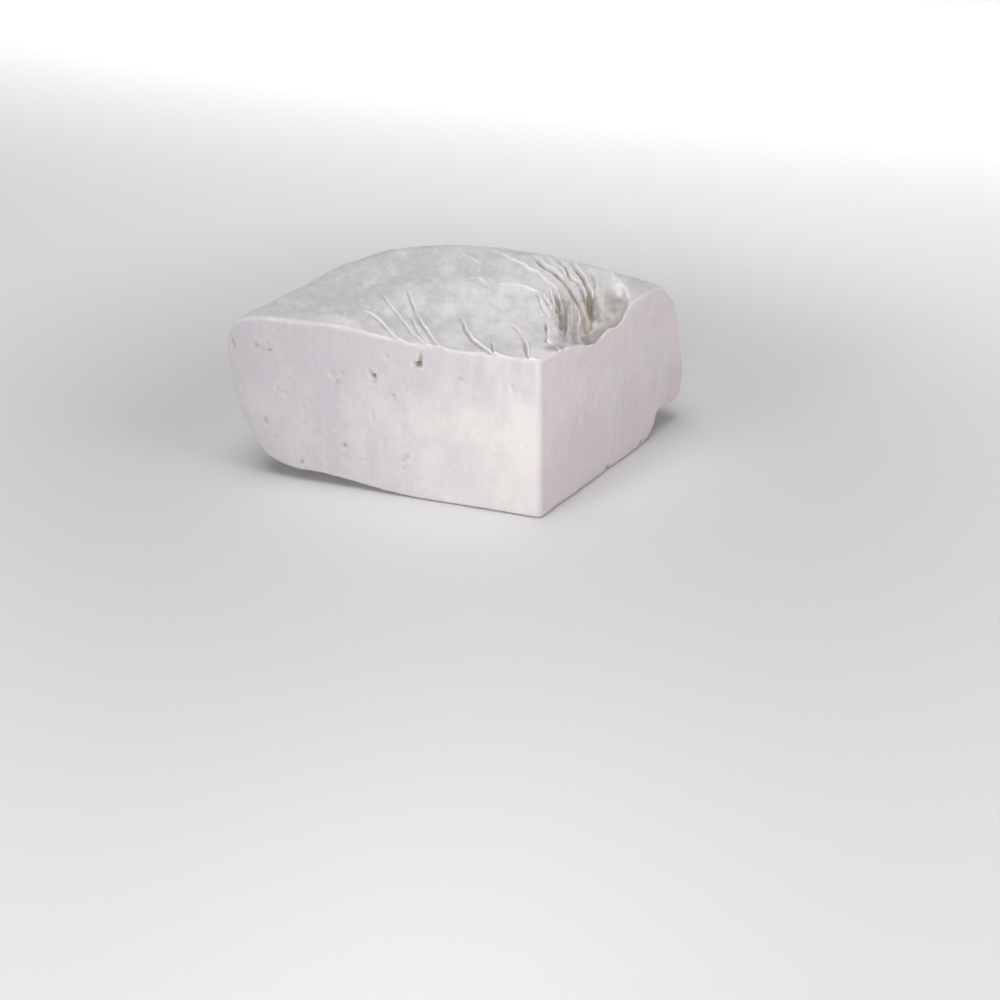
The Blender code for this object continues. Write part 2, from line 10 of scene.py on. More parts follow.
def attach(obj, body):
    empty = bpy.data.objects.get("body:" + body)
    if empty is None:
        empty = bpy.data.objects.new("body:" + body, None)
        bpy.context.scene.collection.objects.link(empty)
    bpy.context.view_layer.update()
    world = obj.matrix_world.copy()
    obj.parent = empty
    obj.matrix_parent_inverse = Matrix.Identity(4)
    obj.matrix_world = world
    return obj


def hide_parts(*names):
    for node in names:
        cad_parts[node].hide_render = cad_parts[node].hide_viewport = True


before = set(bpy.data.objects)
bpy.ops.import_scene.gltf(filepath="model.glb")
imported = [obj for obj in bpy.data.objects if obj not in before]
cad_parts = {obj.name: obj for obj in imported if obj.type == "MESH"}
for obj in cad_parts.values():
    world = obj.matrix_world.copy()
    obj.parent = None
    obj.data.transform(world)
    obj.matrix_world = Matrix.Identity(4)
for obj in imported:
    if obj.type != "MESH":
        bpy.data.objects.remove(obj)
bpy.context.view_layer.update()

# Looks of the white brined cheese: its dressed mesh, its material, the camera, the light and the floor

MM = 0.001

# Shapes are in millimetres from the foot of the edge between the cuts, with the left cut along -X. The
# finished mesh, the material, the camera and the lights are in metres.

# Wheel and wedge
CUT_HEIGHT = 70.0  # height of the edge where the two cuts meet
WEDGE_ANGLE = 108.3  # degrees between the two cut faces
EDGE_LEAN = 1.5  # how far the top of that edge stands towards -X
WHEEL_CENTRE = (-25.3, 14.6)  # the cuts meet a little past the wheel's centre
WHEEL_RADIUS = 112.5
BACK_BULGE = (14.0, 124.0, 28.0)  # extra radius, its direction and its spread in degrees
SIDE_FLAT = (-5.0, 168.0, 14.0)  # the flatter stretch beside the left cut
LEFT_LENGTH = 136.0  # length of the left cut, and of the right one below
RIGHT_LENGTH = 115.0
LEFT_END = 187.0  # direction of the left cut's outer end, seen from the wheel's centre
RIGHT_END = 57.0  # direction of the right cut's outer end
STRAIGHT_FORWARD = 270.0  # directions past this one count as the right cut's

# Vertical profile of the rim as (distance in from the widest point, height), from the top sheet's edge
# over the shoulder and down to the base. The three share their number of points.
PROFILE_LEFT = ((26, 73.1), (14, 72.6), (7.1, 71.0), (2.2, 65.5), (0, 56), (1.4, 39),
                (5.5, 23.5), (12, 12), (17, 8.0), (21, 6.5), (25, 5.6), (30, 5.0))
PROFILE_RIGHT = ((34, 71.8), (24.5, 71.0), (17.5, 66.6), (11.5, 59.8), (7.5, 51), (4.6, 38),
                 (0.3, 26), (1.0, 13), (6, 4.5), (12, 1.8), (18, 0.8), (26, 0.3))
PROFILE_CHIPPED = PROFILE_RIGHT[:7] + ((0.9, 16), (3.5, 12.6), (21.5, 11.8), (24.5, 3.6), (32, 0.0))
SHOULDER_END = 4.0  # profile point below which the top's height no longer tells
RELIEF_END = (10.4, 7.4)  # profile points between which the cloth's relief fades in, from below
CHIP_ENDS = (88.0, 66.0)  # directions where the broken lower edge starts and is full
BREAK_START = (7.2, 8.0)  # profile points where its roughness starts and is full, from above
BREAK_END = (10.7, 10.0)  # and from below
BREAK_LUMPS = ((1.3, 5.0), (0.65, 2.3))  # heights and sizes of its lumps

# Top: a sunk middle inside a raised ring, and dents as (x, y, radius along, radius across, turn, depth)
RING_RISE = 3.6
RING = (25.0, 65.0)  # distances from the centre where the ring starts and is full
SHOULDER_FALL = 0.8
SHOULDER = (80.0, 105.0)  # distances where the top's fall behind the ring starts and is full
TOP_DENTS = (
    (12.5, 36.0, 13.0, 15.0, 71.7, -6.2),
    (18.5, 53.5, 6.5, 12.0, 71.7, -4.2),
    (-100.0, 50.0, 26.0, 16.0, 60.0, -1.4),
    (-112.0, 14.0, 9.0, 6.0, 20.0, -0.8),
    (-52.0, 62.0, 20.0, 14.0, 130.0, -0.9),
    (-30.0, 24.0, 12.0, 8.0, 120.0, -0.8),
    (-88.0, 8.0, 12.0, 6.0, 0.0, 0.6),
    (-2.0, 96.0, 26.0, 18.0, 0.0, -1.3),
    (-92.0, 92.0, 26.0, 18.0, 45.0, 1.2),
    (13.0, 63.0, 11.0, 4.5, 104.0, -2.6),
)

# Cloth folds as (groove depth, lip height, half width, share of the route after which the lip fades,
# route). The groove runs along the right of its route, looking from the first point to the last, and
# the lip along the left. Past the shoulder a route runs on over the unrolled rim, where distance from
# the centre is distance down the side.
LEFT_CREASES = (
    (0.9, 0.65, 1.0, 1.0, ((-84, 21), (-79, 18), (-72, 13), (-65, 6), (-56, -2))),
    (1.1, 0.65, 1.0, 1.0, ((-85, 43), (-80, 36), (-70, 25), (-59, 12), (-48, 1), (-43, -4))),
    (1.1, 0.65, 1.0, 1.0, ((-71, 58), (-74, 52), (-73, 46), (-66, 34), (-59, 23), (-49, 9), (-39, -4))),
    (1.0, 0.6, 0.9, 1.0, ((-66, 27), (-63, 23), (-56, 13), (-48, 2), (-45, -2))),
    (1.2, 0.7, 1.1, 1.0, ((-48, 38), (-46, 35), (-41, 26), (-34, 14), (-28, 8), (-22, 2), (-13, -5))),
    (1.1, 0.5, 0.9, 1.0, ((-26, 16), (-25, 13), (-22, 6), (-18, -3))),
    (1.3, 0.7, 1.1, 1.0, ((-24, 36), (-22, 32), (-16, 23), (-10, 11), (-4, -4))),
    (0.5, 0.4, 0.8, 1.0, ((-9, 15), (-8, 12), (-6, 3))),
)
GATHERED_CREASES = (
    (0.2, 0.6, 1.0, 1.0, ((-30, 69), (-26, 66), (-22, 63), (-19, 59))),
    (0.8, 0.9, 0.9, 1.0, ((-24, 66), (-20, 60), (-16, 52), (-13, 47), (-10, 42))),
    (0.8, 0.9, 0.9, 1.0, ((-19, 62), (-17, 59), (-14, 54), (-11, 48))),
    (0.6, 0.8, 0.9, 1.0, ((-19, 72), (-16, 65), (-12, 55), (-10, 50))),
    (2.0, 0.6, 1.2, 0.3, ((-14, 68), (-12, 62), (-9, 55), (-7, 50), (-5, 45), (-4, 41), (-3, 36))),
    (1.0, 0.3, 0.9, 1.0, ((-12, 48), (-6, 50), (-3, 51))),
    (1.5, 1.0, 1.1, 1.0, ((-10, 42), (-9, 37), (-7, 30), (-5, 24), (-4, 18))),
    (1.2, 0.3, 1.3, 1.0, ((-6, 20), (-1, 17), (4, 11))),
)
BACK_FOLDS = (
    (0.8, 1.1, 1.3, 1.0, ((-74, 122), (-64, 113), (-56, 106), (-50, 103), (-44, 97), (-37, 91), (-33, 87),
        (-28, 84), (-22, 77), (-16, 70), (-13, 65))),
    (2.0, 1.2, 1.5, 0.42, ((-44, 120), (-37, 109), (-31, 99), (-26, 92), (-21, 88), (-17, 83), (-13, 78),
        (-9, 71), (-5, 64), (-1, 57), (2, 52), (5, 47), (8, 38))),
    (0.7, 0.7, 1.2, 1.0, ((-34, 116), (-30, 107), (-26, 100), (-20, 93), (-14, 85))),
    (1.7, 1.0, 1.4, 0.75, ((-28, 117), (-24, 107), (-21, 101), (-16, 92), (-11, 82), (-7, 78), (-3, 70),
        (0, 63), (3, 57))),
    (2.2, 1.4, 1.5, 0.72, ((-25, 121), (-20, 111), (-17, 105), (-12, 95), (-7, 86), (-3, 76), (0, 69),
        (3, 62), (5, 55), (8, 48))),
    (0.8, 0.8, 2.0, 1.0, ((-15, 115), (-12, 108), (-10, 102), (-5, 93), (-1, 83), (3, 69))),
    (1.8, 0.0, 2.6, 1.0, ((1, 67), (4, 58), (6, 50), (8, 43))),
    (0.5, 1.2, 3.0, 0.72, ((-1, 104), (3, 93), (9, 78), (13, 67), (16, 61))),
    (0.3, 0.7, 2.0, 0.80, ((5, 94), (9, 83), (14, 74), (19, 63))),
)
RIGHT_GROOVES = (
    (0.8, 0.3, 1.1, 1.0, ((-8, 62), (-3, 45), (1, 28))),
    (0.7, 0.3, 1.1, 1.0, ((-2, 58), (2, 43), (6, 28))),
    (1.3, 0.0, 2.0, 1.0, ((16, 63), (17, 56), (15, 48), (13, 42), (10, 34))),
)
FAINT_RIDGES = (
    (0.2, 0.35, 1.6, 1.0, ((-71, 97), (-67, 96), (-61, 91), (-55, 87))),
    (0.3, 0.35, 1.6, 1.0, ((-56, 66), (-53, 69), (-50, 70), (-46, 67), (-42, 63))),
    (0.0, 0.4, 2.6, 1.0, ((-41, 65), (-37, 67), (-32, 68), (-28, 67), (-23, 64))),
)
FOLDS = LEFT_CREASES + GATHERED_CREASES + BACK_FOLDS + RIGHT_GROOVES + FAINT_RIDGES
SHOULDER_CALM = (78.0, 99.0, 0.12)  # between these distances the folds weaken to this share
EDGE_CALM = 0.35  # share of the grooves' depth that is left at the left cut's edge
EDGE_CALM_WIDTH = 7.0  # distance from it at which they are whole

# Cross-section of a fold in half widths, as middle and spread of its groove, of its lip and of the soft
# rise behind the lip
GROOVE_SECTION = (0.4, 0.5)
LIP_SECTION = (-0.4, 0.4)
RISE_SECTION = (-1.5, 1.4)
GROOVE_GAIN = 1.15  # depth of a groove as cut, as a share of its depth in the table
RISE_SHARE = 0.35  # height of the rise as a share of the lip's
FOLD_GROWS = 0.22  # share of its route over which a fold grows
FOLD_ENDS = 0.06  # share over which it ends
LIP_FADES = 0.15  # share over which its lip fades
FOLD_WANDER = ((0.35, 6.0), (0.2, 2.2))  # how far folds wander sideways, and over what length
FOLD_CHANGE = ((0.6, 7.5),)  # how much they grow and shrink on their way, and over what length
LIP_HIGHLIGHT = (1.5, 1.9)  # painted highlight on a lip for its height: at most, and at a half width of 1
ROUTE_STEPS = 4  # points to which each stretch of a route is rounded

# Folds down the unseen side of the rim: direction, lean in degrees per 100 mm, depth and half width
RIM_FOLDS = ((64, 4, 1.4, 3.0), (73, -5, 1.0, 2.4), (99, 6, 0.9, 3.2), (112, -4, 1.5, 3.0),
             (121, 7, 0.9, 2.6), (133, 3, 1.5, 3.4), (142, -6, 0.9, 2.4), (154, 5, 1.2, 3.0),
             (163, -4, 0.7, 2.6), (174, 3, 1.0, 2.6))
RIM_FOLD_LEVEL = 140.0  # unrolled distance from the centre at which they have this direction
RIM_FOLD_FADE = (101.0, 124.0)  # unrolled distances between which they fade in
RIM_GROOVE_SECTION = (-0.6, 1.0)  # middle and spread of the groove and of the rise beside it
RIM_RISE_SECTION = (0.9, 1.0)
RIM_RISE_SHARE = 0.7  # height of the rise as a share of the groove's depth

# Gathered cloth near the middle. A place is a centre, the radii along and across it, and its turn in
# degrees. A squeeze is how much closer the lumps lie along and across it than their size says.
GATHER = (1.0, 3.4)  # height and size of its lumps
GATHER_PLACE = (-7.0, 42.0, 26.0, 9.0, 106.0)
GATHER_SQUEEZE = (0.55, 1.3)
LUMPS = ((0.55, 21.0), (0.22, 8.0))  # heights and sizes of the soft unevenness of the rind

# Base
FLAT_RADIUS = (70.0, 32.0)  # flat out to here at the back, and towards the left cut's outer end
FLAT_TURN = (150.0, 184.0)  # directions between which the flat area narrows

# Open holes in the cuts as (X or reach, height, half width, half height, depth)
LEFT_HOLES = (
    (-49.7, 64.2, 0.8, 2.6, 1.8), (-50.6, 61.7, 1.7, 0.9, 2.6), (-71.4, 55.5, 1.0, 0.8, 1.8),
    (-69.9, 54.2, 1.1, 1.2, 2.4), (-70.6, 51.6, 1.4, 1.0, 0.7), (-132.6, 59.5, 0.7, 2.8, 1.4),
    (-122.0, 60.6, 0.9, 1.8, 1.3), (-119.8, 59.2, 0.8, 1.2, 1.0), (-116.4, 62.1, 1.1, 0.7, 1.2),
    (-116.2, 59.4, 1.3, 0.8, 1.6), (-88.6, 52.6, 1.3, 1.3, 0.7), (-84.6, 53.2, 1.0, 0.8, 0.9),
    (-86.6, 49.4, 0.7, 1.0, 0.9), (-85.5, 20.0, 0.9, 1.5, 1.6), (-85.6, 25.4, 0.8, 4.0, 0.4),
    (-105.6, 9.4, 0.9, 1.1, 1.4), (-57.4, 19.2, 0.8, 1.7, 1.2), (-58.6, 17.2, 0.9, 0.9, 1.0),
    (-56.6, 15.1, 0.9, 0.8, 0.9), (-59.3, 13.2, 0.9, 1.0, 0.7), (-121.3, 26.4, 0.8, 2.0, 1.3),
    (-114.6, 42.6, 0.8, 1.3, 1.0), (-111.6, 40.8, 1.6, 0.7, 0.8), (-116.8, 19.0, 0.9, 0.8, 0.7),
    (-103.1, 27.8, 1.1, 0.9, 0.9), (-130.4, 50.4, 1.3, 1.0, 0.6), (-61.9, 46.7, 1.0, 1.0, 1.1),
    (-56.1, 51.9, 0.9, 0.9, 0.8), (-64.1, 63.4, 0.9, 0.9, 0.8), (-59.2, 60.2, 1.2, 0.7, 0.6),
    (-72.0, 36.7, 0.7, 2.6, 0.6), (-76.3, 14.7, 2.2, 0.7, 0.6), (-67.7, 24.5, 1.6, 2.4, 0.4),
    (-33.6, 57.7, 1.5, 0.6, 1.2), (-11.8, 57.6, 0.6, 1.6, 0.8), (-10.5, 56.2, 0.6, 0.8, 0.8),
    (-38.6, 16.7, 2.0, 0.6, 0.5), (-36.5, 13.3, 0.7, 1.4, 0.5), (-17.9, 38.2, 0.6, 1.8, 0.5),
)
RIGHT_HOLES = ((28.6, 33.9, 1.2, 1.4, 0.6), (52.0, 1.2, 2.2, 1.6, 1.6), (80.5, 1.4, 2.6, 2.0, 1.6))
HOLE_EDGES = (0.45, 1.3)  # how ragged the holes' outlines are, and over what length
HOLE_SHIFT = 50.0  # between the noises that make them ragged across and up
HOLE_STEEPNESS = 1.3  # 1 would be a bell curve, and more is steeper
HOLE_RIM = (0.12, 2.6)  # rise of the rim as a share of the depth, and its distance squared in half sizes
CUT_WOBBLE = 0.5  # how far a cut face strays from flat
WOBBLE_SIZE = 26.0
WOBBLE_SQUEEZE = (0.6, 1.0)
WOBBLE_START = 12.0  # the wobble fades in over this distance from the edge between the cuts

# Fine gathers on the right slope
STRIPES = (0.55, 2.6, 30.0)  # their height, spacing and length
STRIPE_PLACE = (3.0, 45.0, 26.0, 12.0, 108.0)
STRIPE_BEND = (1.6, 17.0)  # how far they bend, and over what length
FINER_STRIPES = (0.5, 2.1)  # share of finer gathers among them, and how much closer these are
STRIPE_SHADE = 0.6  # painted shade: how much darker the valleys of the gathers are

# Crumpled lumps beside them
CRUMPLE = (2.6, 2.0)  # their height and size
CRUMPLE_PLACE = (-13.5, 54.0, 13.0, 4.5, 114.0)
CRUMPLE_SQUEEZE = (0.7, 1.2)
CRUMPLE_RIDGE = 0.35  # height of their ridges over the middle of the noise
CRUMPLE_SHADE = 1.5  # painted shade: how much darker the gaps between them are

# Darkened patches of the rind, partly real stains and partly painted shade on the right slope and in its
# hollows, and
# patches of painted highlight: place and strength of each
STAINS_AND_SHADE = (((3.0, 44.0, 22.0, 9.5, 108.0), 1.1), ((13.5, 62.0, 11.0, 5.0, 104.0), 1.2),
          ((0.0, 15.0, 5.0, 3.0, 60.0), 1.0), ((5.5, 56.0, 9.0, 2.2, 112.0), 1.0),
          ((12.5, 42.0, 9.0, 3.2, 60.0), 1.2), ((-8.0, 50.0, 14.0, 3.0, 112.0), 0.5),
          ((22.0, 78.0, 22.0, 7.0, 100.0), 0.5))
# Patches of painted highlight along the broad lips of the right streaks
HIGHLIGHT_PATCHES = (((8.5, 79.0, 13.0, 2.6, 112.0), 0.55), ((17.0, 68.0, 7.0, 1.4, 114.0), 0.35))
PATCH_EDGES = (0.5, 3.0)  # how ragged the patches are, and over what length
PATCH_SQUEEZE = (1.6, 0.5)

# Skin and specks of the rind
SKIN = ((0.15, 3.2), (0.07, 1.4))  # heights and sizes of the rind's fine unevenness
SKIN_SQUEEZE = 0.5  # along Y
SPECKS = 90  # number of small dents, and the ranges of their X, Y, size and depth
SPECK_RANGES = ((-150, 60), (-5, 190), (0.6, 1.7), (0.08, 0.4))
SPECK_SQUASH = 1.6
SPECK_SEED = 11

# Raised lip along the left cut's top edge
LIP = (0.60, 1.1)  # its height and half width
LIP_GROWS = (-85.0, -55.0)  # X where it starts and is full
LIP_CHANGE = (0.6, 0.8, 9.0)  # middle of its height, how much that changes, and over what length
EDGE_LIP_HIGHLIGHT = 0.7  # how much a painted highlight pales it

# Pinholes, knife marks and softness of the cut faces
PINHOLES = 70  # number in each face
PINHOLE_MARGINS = (6, 8)  # room that they leave at the edge between the cuts and at the rim
PINHOLE_RANGES = ((5, 66), (0.35, 0.75), (0.4, 1.3), (0.15, 0.6))  # place, two half sizes and depth
STREAKS = (0.03, 2.2, 40.0)  # height, spacing and length of the knife's marks
CURD_LUMPS = ((0.22, 7.0), (0.11, 2.6))  # heights and sizes of the curd's soft unevenness
SOFTEN = 1.1  # edges are rounded over this distance
SOFTEN_ROUNDS = 5

# Resolution
EDGE_STEP = 0.8
COLUMNS = 240
ROWS_A_POINT = 8
TOP_STEP = 1.05
FINE_STEP = 0.31  # on the top near its folds
FINE_CLOTH = (0.2, 0.3)  # it is fine inside the crumples and the fine gathers above these shares
FINE_FOLDS = (1.2, 0.5)  # and beside a fold for so many half widths and millimetres
CUT_STEP = 0.95
BASE_STEP = 3.5
ROW_RISE = 0.866  # height of an equal-sided triangle as a share of its side

# Patterns of the material as (scale per metre, detail, roughness, range of noise taken in, range given)
RIND_CLOUDS = (72.0, 2.0, 0.50, (0.34, 0.66), (0.0, 1.0))
RIND_BLOTCHES = (210.0, 3.0, 0.55, (0.34, 0.66), (-0.30, 0.32))
RIND_FLECKS = (300.0, 3.0, 0.60, (0.42, 0.66), (0.0, 1.0))
# The stains and the painted shade are mottled with this
STAIN_AND_SHADE_PATTERN = (240.0, 3.0, 0.60, (0.30, 0.70), (0.45, 0.75))
CREASE_PATTERN = (160.0, 3.0, 0.60, (0.25, 0.65), (0.35, 1.0))
CURD_PATCHES = (70.0, 3.0, 0.55, (0.30, 0.70), (-0.30, 0.30))
BLUSH_PATTERN = (42.0, 2.0, 0.50, (0.50, 0.75), (0.0, 0.45))
ROUGH_PATTERN = (120.0, 4.0, 0.60, (0.30, 0.70), (0.48, 0.64))
MARK_PATTERN = (1.0, 3.0, 0.50)  # of the knife's marks, whose scale is MARK_SIZE
GRAIN = (((420.0, 4.0, 0.6), 0.0010, 0.40), ((1500.0, 2.0, 0.5), 0.0003, 0.2))  # with depth, strength

# How far the patterns are drawn out
RIND_STRETCH = (1.0, 2.0, 1.0)
RIND_TURN = 18.0
CURD_STRETCH = (1.0, 1.0, 1.4)
BLUSH_STRETCH = (1.0, 1.0, 0.77)
MARK_SIZE = (1 / 300.0, 1 / 300.0, 1 / 24.0)

# Slow changes of the colours along X or up Z as (first place, last place, first value, last value)
RIND_ACROSS = (-0.08, 0.03, -0.60, 0.15)
BLOTCHES_ACROSS = (-0.08, -0.01, 1.7, 1.0)
# On the cut faces the next four paint light and shade: brighter towards the edge between the cuts, darker
# towards the top of the left cut, and on the right cut darker low down and across its middle, paler higher
# up and at its far end
CURD_LIGHT_ACROSS = (-0.07, 0.07, 0.05, 1.05)
LEFT_SHADE_UP = (0.035, 0.068, 0.0, -0.6)
RIGHT_LIGHT_AND_SHADE_UP = (0.0, 0.06, -1.2, 0.6)
RIGHT_LIGHT_AND_SHADE_ACROSS = ((0.046, 0.062, 0.0, -0.7), (0.070, 0.085, 0.0, 0.4))

# Changes of the colours with the tones of the mesh and with the knife's marks, as above
# Painted highlight on the lips and the highlight patches, for how far below zero their tone lies
LIP_TO_HIGHLIGHT = (0.12, 0.75)
# Stain and painted shade in the creases, for how deep they lie
CREASE_TO_STAIN_AND_SHADE = (0.2, 1.6, 0.0, 0.85)
HOLE_RIM_TO_PALE = (-0.03, -0.25, 0.0, 0.6)
# Painted shade in the holes, for how deep they lie
HOLE_TO_SHADE = (0.35, 2.3, 0.0, 0.85)
MARKS_TO_PALE = (0.42, 0.7)
MARK_SHARE = 0.08  # strength of the pale marks
MARK_DEPTH = 0.0005
MARK_STRENGTH = 0.10
FLECK_SHARE = 0.22  # strength of the pale flecks
CLEAN_LIP = 0.7  # how far a lip's painted highlight keeps the stain and the painted shade off
RIGHT_BLUSH = 0.6  # how much more blush the right cut has
CUT_SMOOTHER = 0.06  # how much less rough the cuts are

# Colours
RIND_WHITE = (0.81, 0.797, 0.802, 1.0)
RIND_GREY = (0.66, 0.647, 0.657, 1.0)
# Pale for the flecks, and a painted highlight on the lips
RIND_PALE_AND_HIGHLIGHT = (0.94, 0.935, 0.935, 1.0)
# Real stains, and painted shade on the right slope, in its hollows and between the gathers and crumples
RIND_STAIN_AND_SHADE = (0.36, 0.33, 0.31, 1.0)
# Cool and warm curd, whose mix on the cut faces also carries painted light and shade
CURD_COOL_AND_SHADE = (0.66, 0.630, 0.67, 1.0)
CURD_WARM_AND_LIT = (0.82, 0.792, 0.782, 1.0)
CURD_PALE = (0.92, 0.90, 0.895, 1.0)
CURD_BLUSH = (0.74, 0.673, 0.702, 1.0)
# Stain and painted shade in the creases
CREASE_STAIN_AND_SHADE = (0.46, 0.39, 0.30, 1.0)
# Painted shade in the holes
HOLE_SHADE = (0.27, 0.22, 0.13, 1.0)

# Camera
CAMERA_PLACE = (0.1743, -0.5026, 0.2717)
CAMERA_AZIMUTH = 17.89
CAMERA_ELEVATION = 30.0
CAMERA_LENS = 46.8
CAMERA_SENSOR = 36.0
CAMERA_NEAREST = 0.01

# Lights
NEAR_CORNER = (0.049, -0.064, 0.05)

# Each light is its name, what it aims at, azimuth, elevation, distance, size, power, colour and spread
LIGHTS = (
    ("key", NEAR_CORNER, -35.0, 25.0, 0.8, (0.20, 0.20), 1.17, (1.0, 0.995, 0.985), 180.0),
    ("corner", NEAR_CORNER, 10.0, 8.0, 0.45, (0.15, 0.15), 0.060, (1.0, 0.98, 0.95), 45.0),
    ("right", (0.03, 0.0, 0.03), 75.0, 35.0, 1.0, (0.5, 0.5), 2.12, (1.0, 0.94, 0.965), 180.0),
    ("top", (0.0, 0.0, 0.03), -10.0, 80.0, 2.4, (1.8, 1.8), 33.8, (1.0, 1.0, 1.0), 180.0),
    ("backdrop", (0.0, 1.0, 0.0), 0.0, 89.0, 0.9, (3.0, 0.7), 7.0, (1.0, 1.0, 1.0), 90.0),
)
AMBIENT = 0.10
AMBIENT_COLOUR = (1.0, 0.985, 0.985, 1.0)

# Floor
FLOOR_SIZE = 8.0
FLOOR_MIDDLE = (0.0, 2.0, 0.0)
# Near the cheese the floor is darker, a painted soft shadow round it
FLOOR_SHADOW = (0.69, 0.69, 0.69, 1.0)
FLOOR_PALE = (0.93, 0.93, 0.93, 1.0)
FLOOR_SHADOW_FADE = (0.09, 0.38)  # distances between which the painted shadow round the cheese fades into the pale floor


def ramp(value, start, full):
    """Smooth step from 0 at the start to 1 where it is full."""
    t = np.clip((value - start) / (full - start), 0.0, 1.0)
    return t * t * (3.0 - 2.0 * t)


def bell(value, middle, spread):
    """Bell curve with a height of 1."""
    return np.exp(-((value - middle) / spread) ** 2)


def lumps(x, y, size, squeeze=(1.0, 1.0)):
    """Soft noise between about -1 and 1 for arrays of points, squeezed along x and y by these factors."""
    flat = zip(np.ravel(x) * squeeze[0], np.ravel(y) * squeeze[1])
    values = [noise.noise(Vector((a / size, b / size, size))) for a, b in flat]
    return np.array(values).reshape(np.shape(x))


def uneven(x, y, table):
    """Sum of a table's soft noises, each given by its height and size."""
    return sum(height * lumps(x, y, size) for height, size in table)


def turned(x, y, cx, cy, turn):
    """Coordinates from a centre, along a direction in degrees and across it."""
    c, s = math.cos(math.radians(turn)), math.sin(math.radians(turn))
    return (x - cx) * c + (y - cy) * s, (y - cy) * c - (x - cx) * s


def region(x, y, place):
    """Share from 1 inside an oval to 0 outside it, and the coordinates along and across it."""
    cx, cy, along, across, turn = place
    u, v = turned(x, y, cx, cy, turn)
    return np.exp(-(u / along) ** 4 - (v / across) ** 4), u, v


# Directions and the wheel's outline

RIGHT_AZIMUTH = math.radians(WEDGE_ANGLE - 90.0)
RIGHT_WAY = np.array((math.sin(RIGHT_AZIMUTH), math.cos(RIGHT_AZIMUTH)))
RIGHT_OUT = np.array((math.cos(RIGHT_AZIMUTH), -math.sin(RIGHT_AZIMUTH)))
CENTRE = np.array(WHEEL_CENTRE)


def polar(x, y):
    """Distance and direction in degrees, 0 to 360, from the wheel's centre."""
    dx, dy = x - CENTRE[0], y - CENTRE[1]
    return np.hypot(dx, dy), np.degrees(np.arctan2(dy, dx)) % 360.0


def rim_radius(direction):
    """The wheel's widest radius in each direction."""
    radius = WHEEL_RADIUS
    for extra, middle, spread in (BACK_BULGE, SIDE_FLAT):
        radius = radius + extra * bell(direction, middle, spread)
    return radius


def end_directions(radius):
    """Directions in which a circle of this radius about the centre meets the left and right cuts."""
    left = 180.0 + np.degrees(np.arcsin(CENTRE[1] / radius))
    along = CENTRE @ RIGHT_WAY
    reach = along + np.sqrt(along ** 2 + radius ** 2 - CENTRE @ CENTRE)
    x, y = reach * RIGHT_WAY[0], reach * RIGHT_WAY[1]
    return left, polar(x, y)[1]


# Profile of the rim

def profile_points(direction):
    """The profile's points in each direction, mixed from the left, right and chipped profiles."""
    right = np.clip((LEFT_END - direction) / (LEFT_END - RIGHT_END), 0, 1)[:, None, None]
    chip = ramp(direction, *CHIP_ENDS)[:, None, None]
    left_points = np.array(PROFILE_LEFT, float)[None]
    right_points = (1 - chip) * np.array(PROFILE_RIGHT)[None] + chip * np.array(PROFILE_CHIPPED)[None]
    return (1 - right) * left_points + right * right_points


def curve(points, place):
    """Smooth curve through points (columns, n, 2) at the places 0 to n - 1."""
    step = np.diff(points, axis=1)
    length = np.linalg.norm(step, axis=2, keepdims=True)
    way = step / length
    ahead = np.concatenate((way[:, :1], way[:, :-1] + way[:, 1:], way[:, -1:]), axis=1)
    ahead = ahead / np.linalg.norm(ahead, axis=2, keepdims=True)
    index = np.minimum(place.astype(int), points.shape[1] - 2)
    t = (place - index)[None, :, None]
    size = length[:, index]
    return ((1 + 2 * t) * (1 - t) ** 2 * points[:, index] + t * (1 - t) ** 2 * size * ahead[:, index]
            + t * t * (3 - 2 * t) * points[:, index + 1] + t * t * (t - 1) * size * ahead[:, index + 1])


# Folds of the cloth

def side_of_route(x, y, route):
    """Signed distance to a route (positive on its right) and the share of the route passed."""
    best = np.full(np.shape(x), 1e9)
    side = np.ones(np.shape(x))
    passed = np.zeros(np.shape(x))
    points = np.array(route, float)
    lengths = np.linalg.norm(np.diff(points, axis=0), axis=1)
    starts = np.concatenate(([0.0], np.cumsum(lengths)))
    for (ax, ay), (bx, by), length, start in zip(points[:-1], points[1:], lengths, starts):
        ux, uy = (bx - ax) / length, (by - ay) / length
        t = np.clip((x - ax) * ux + (y - ay) * uy, 0, length)
        dx, dy = x - ax - t * ux, y - ay - t * uy
        distance = np.hypot(dx, dy)
        nearer = distance < best
        best = np.where(nearer, distance, best)
        side = np.where(nearer, np.sign(dx * uy - dy * ux), side)
        passed = np.where(nearer, (start + t) / starts[-1], passed)
    return best * side, passed


def smooth(route):
    """A route with its corners rounded."""
    points = np.array(route, float)
    ends = np.concatenate((2 * points[:1] - points[1:2], points, 2 * points[-1:] - points[-2:-1]))
    t = np.linspace(0, 1, ROUTE_STEPS, endpoint=False)[:, None]
    parts = []
    for a, b, c, d in zip(ends, ends[1:], ends[2:], ends[3:]):
        parts.append(b + 0.5 * t * (c - a + t * (2 * a - 5 * b + 4 * c - d + t * (3 * (b - c) + d - a))))
    return np.concatenate(parts + [points[-1:]])


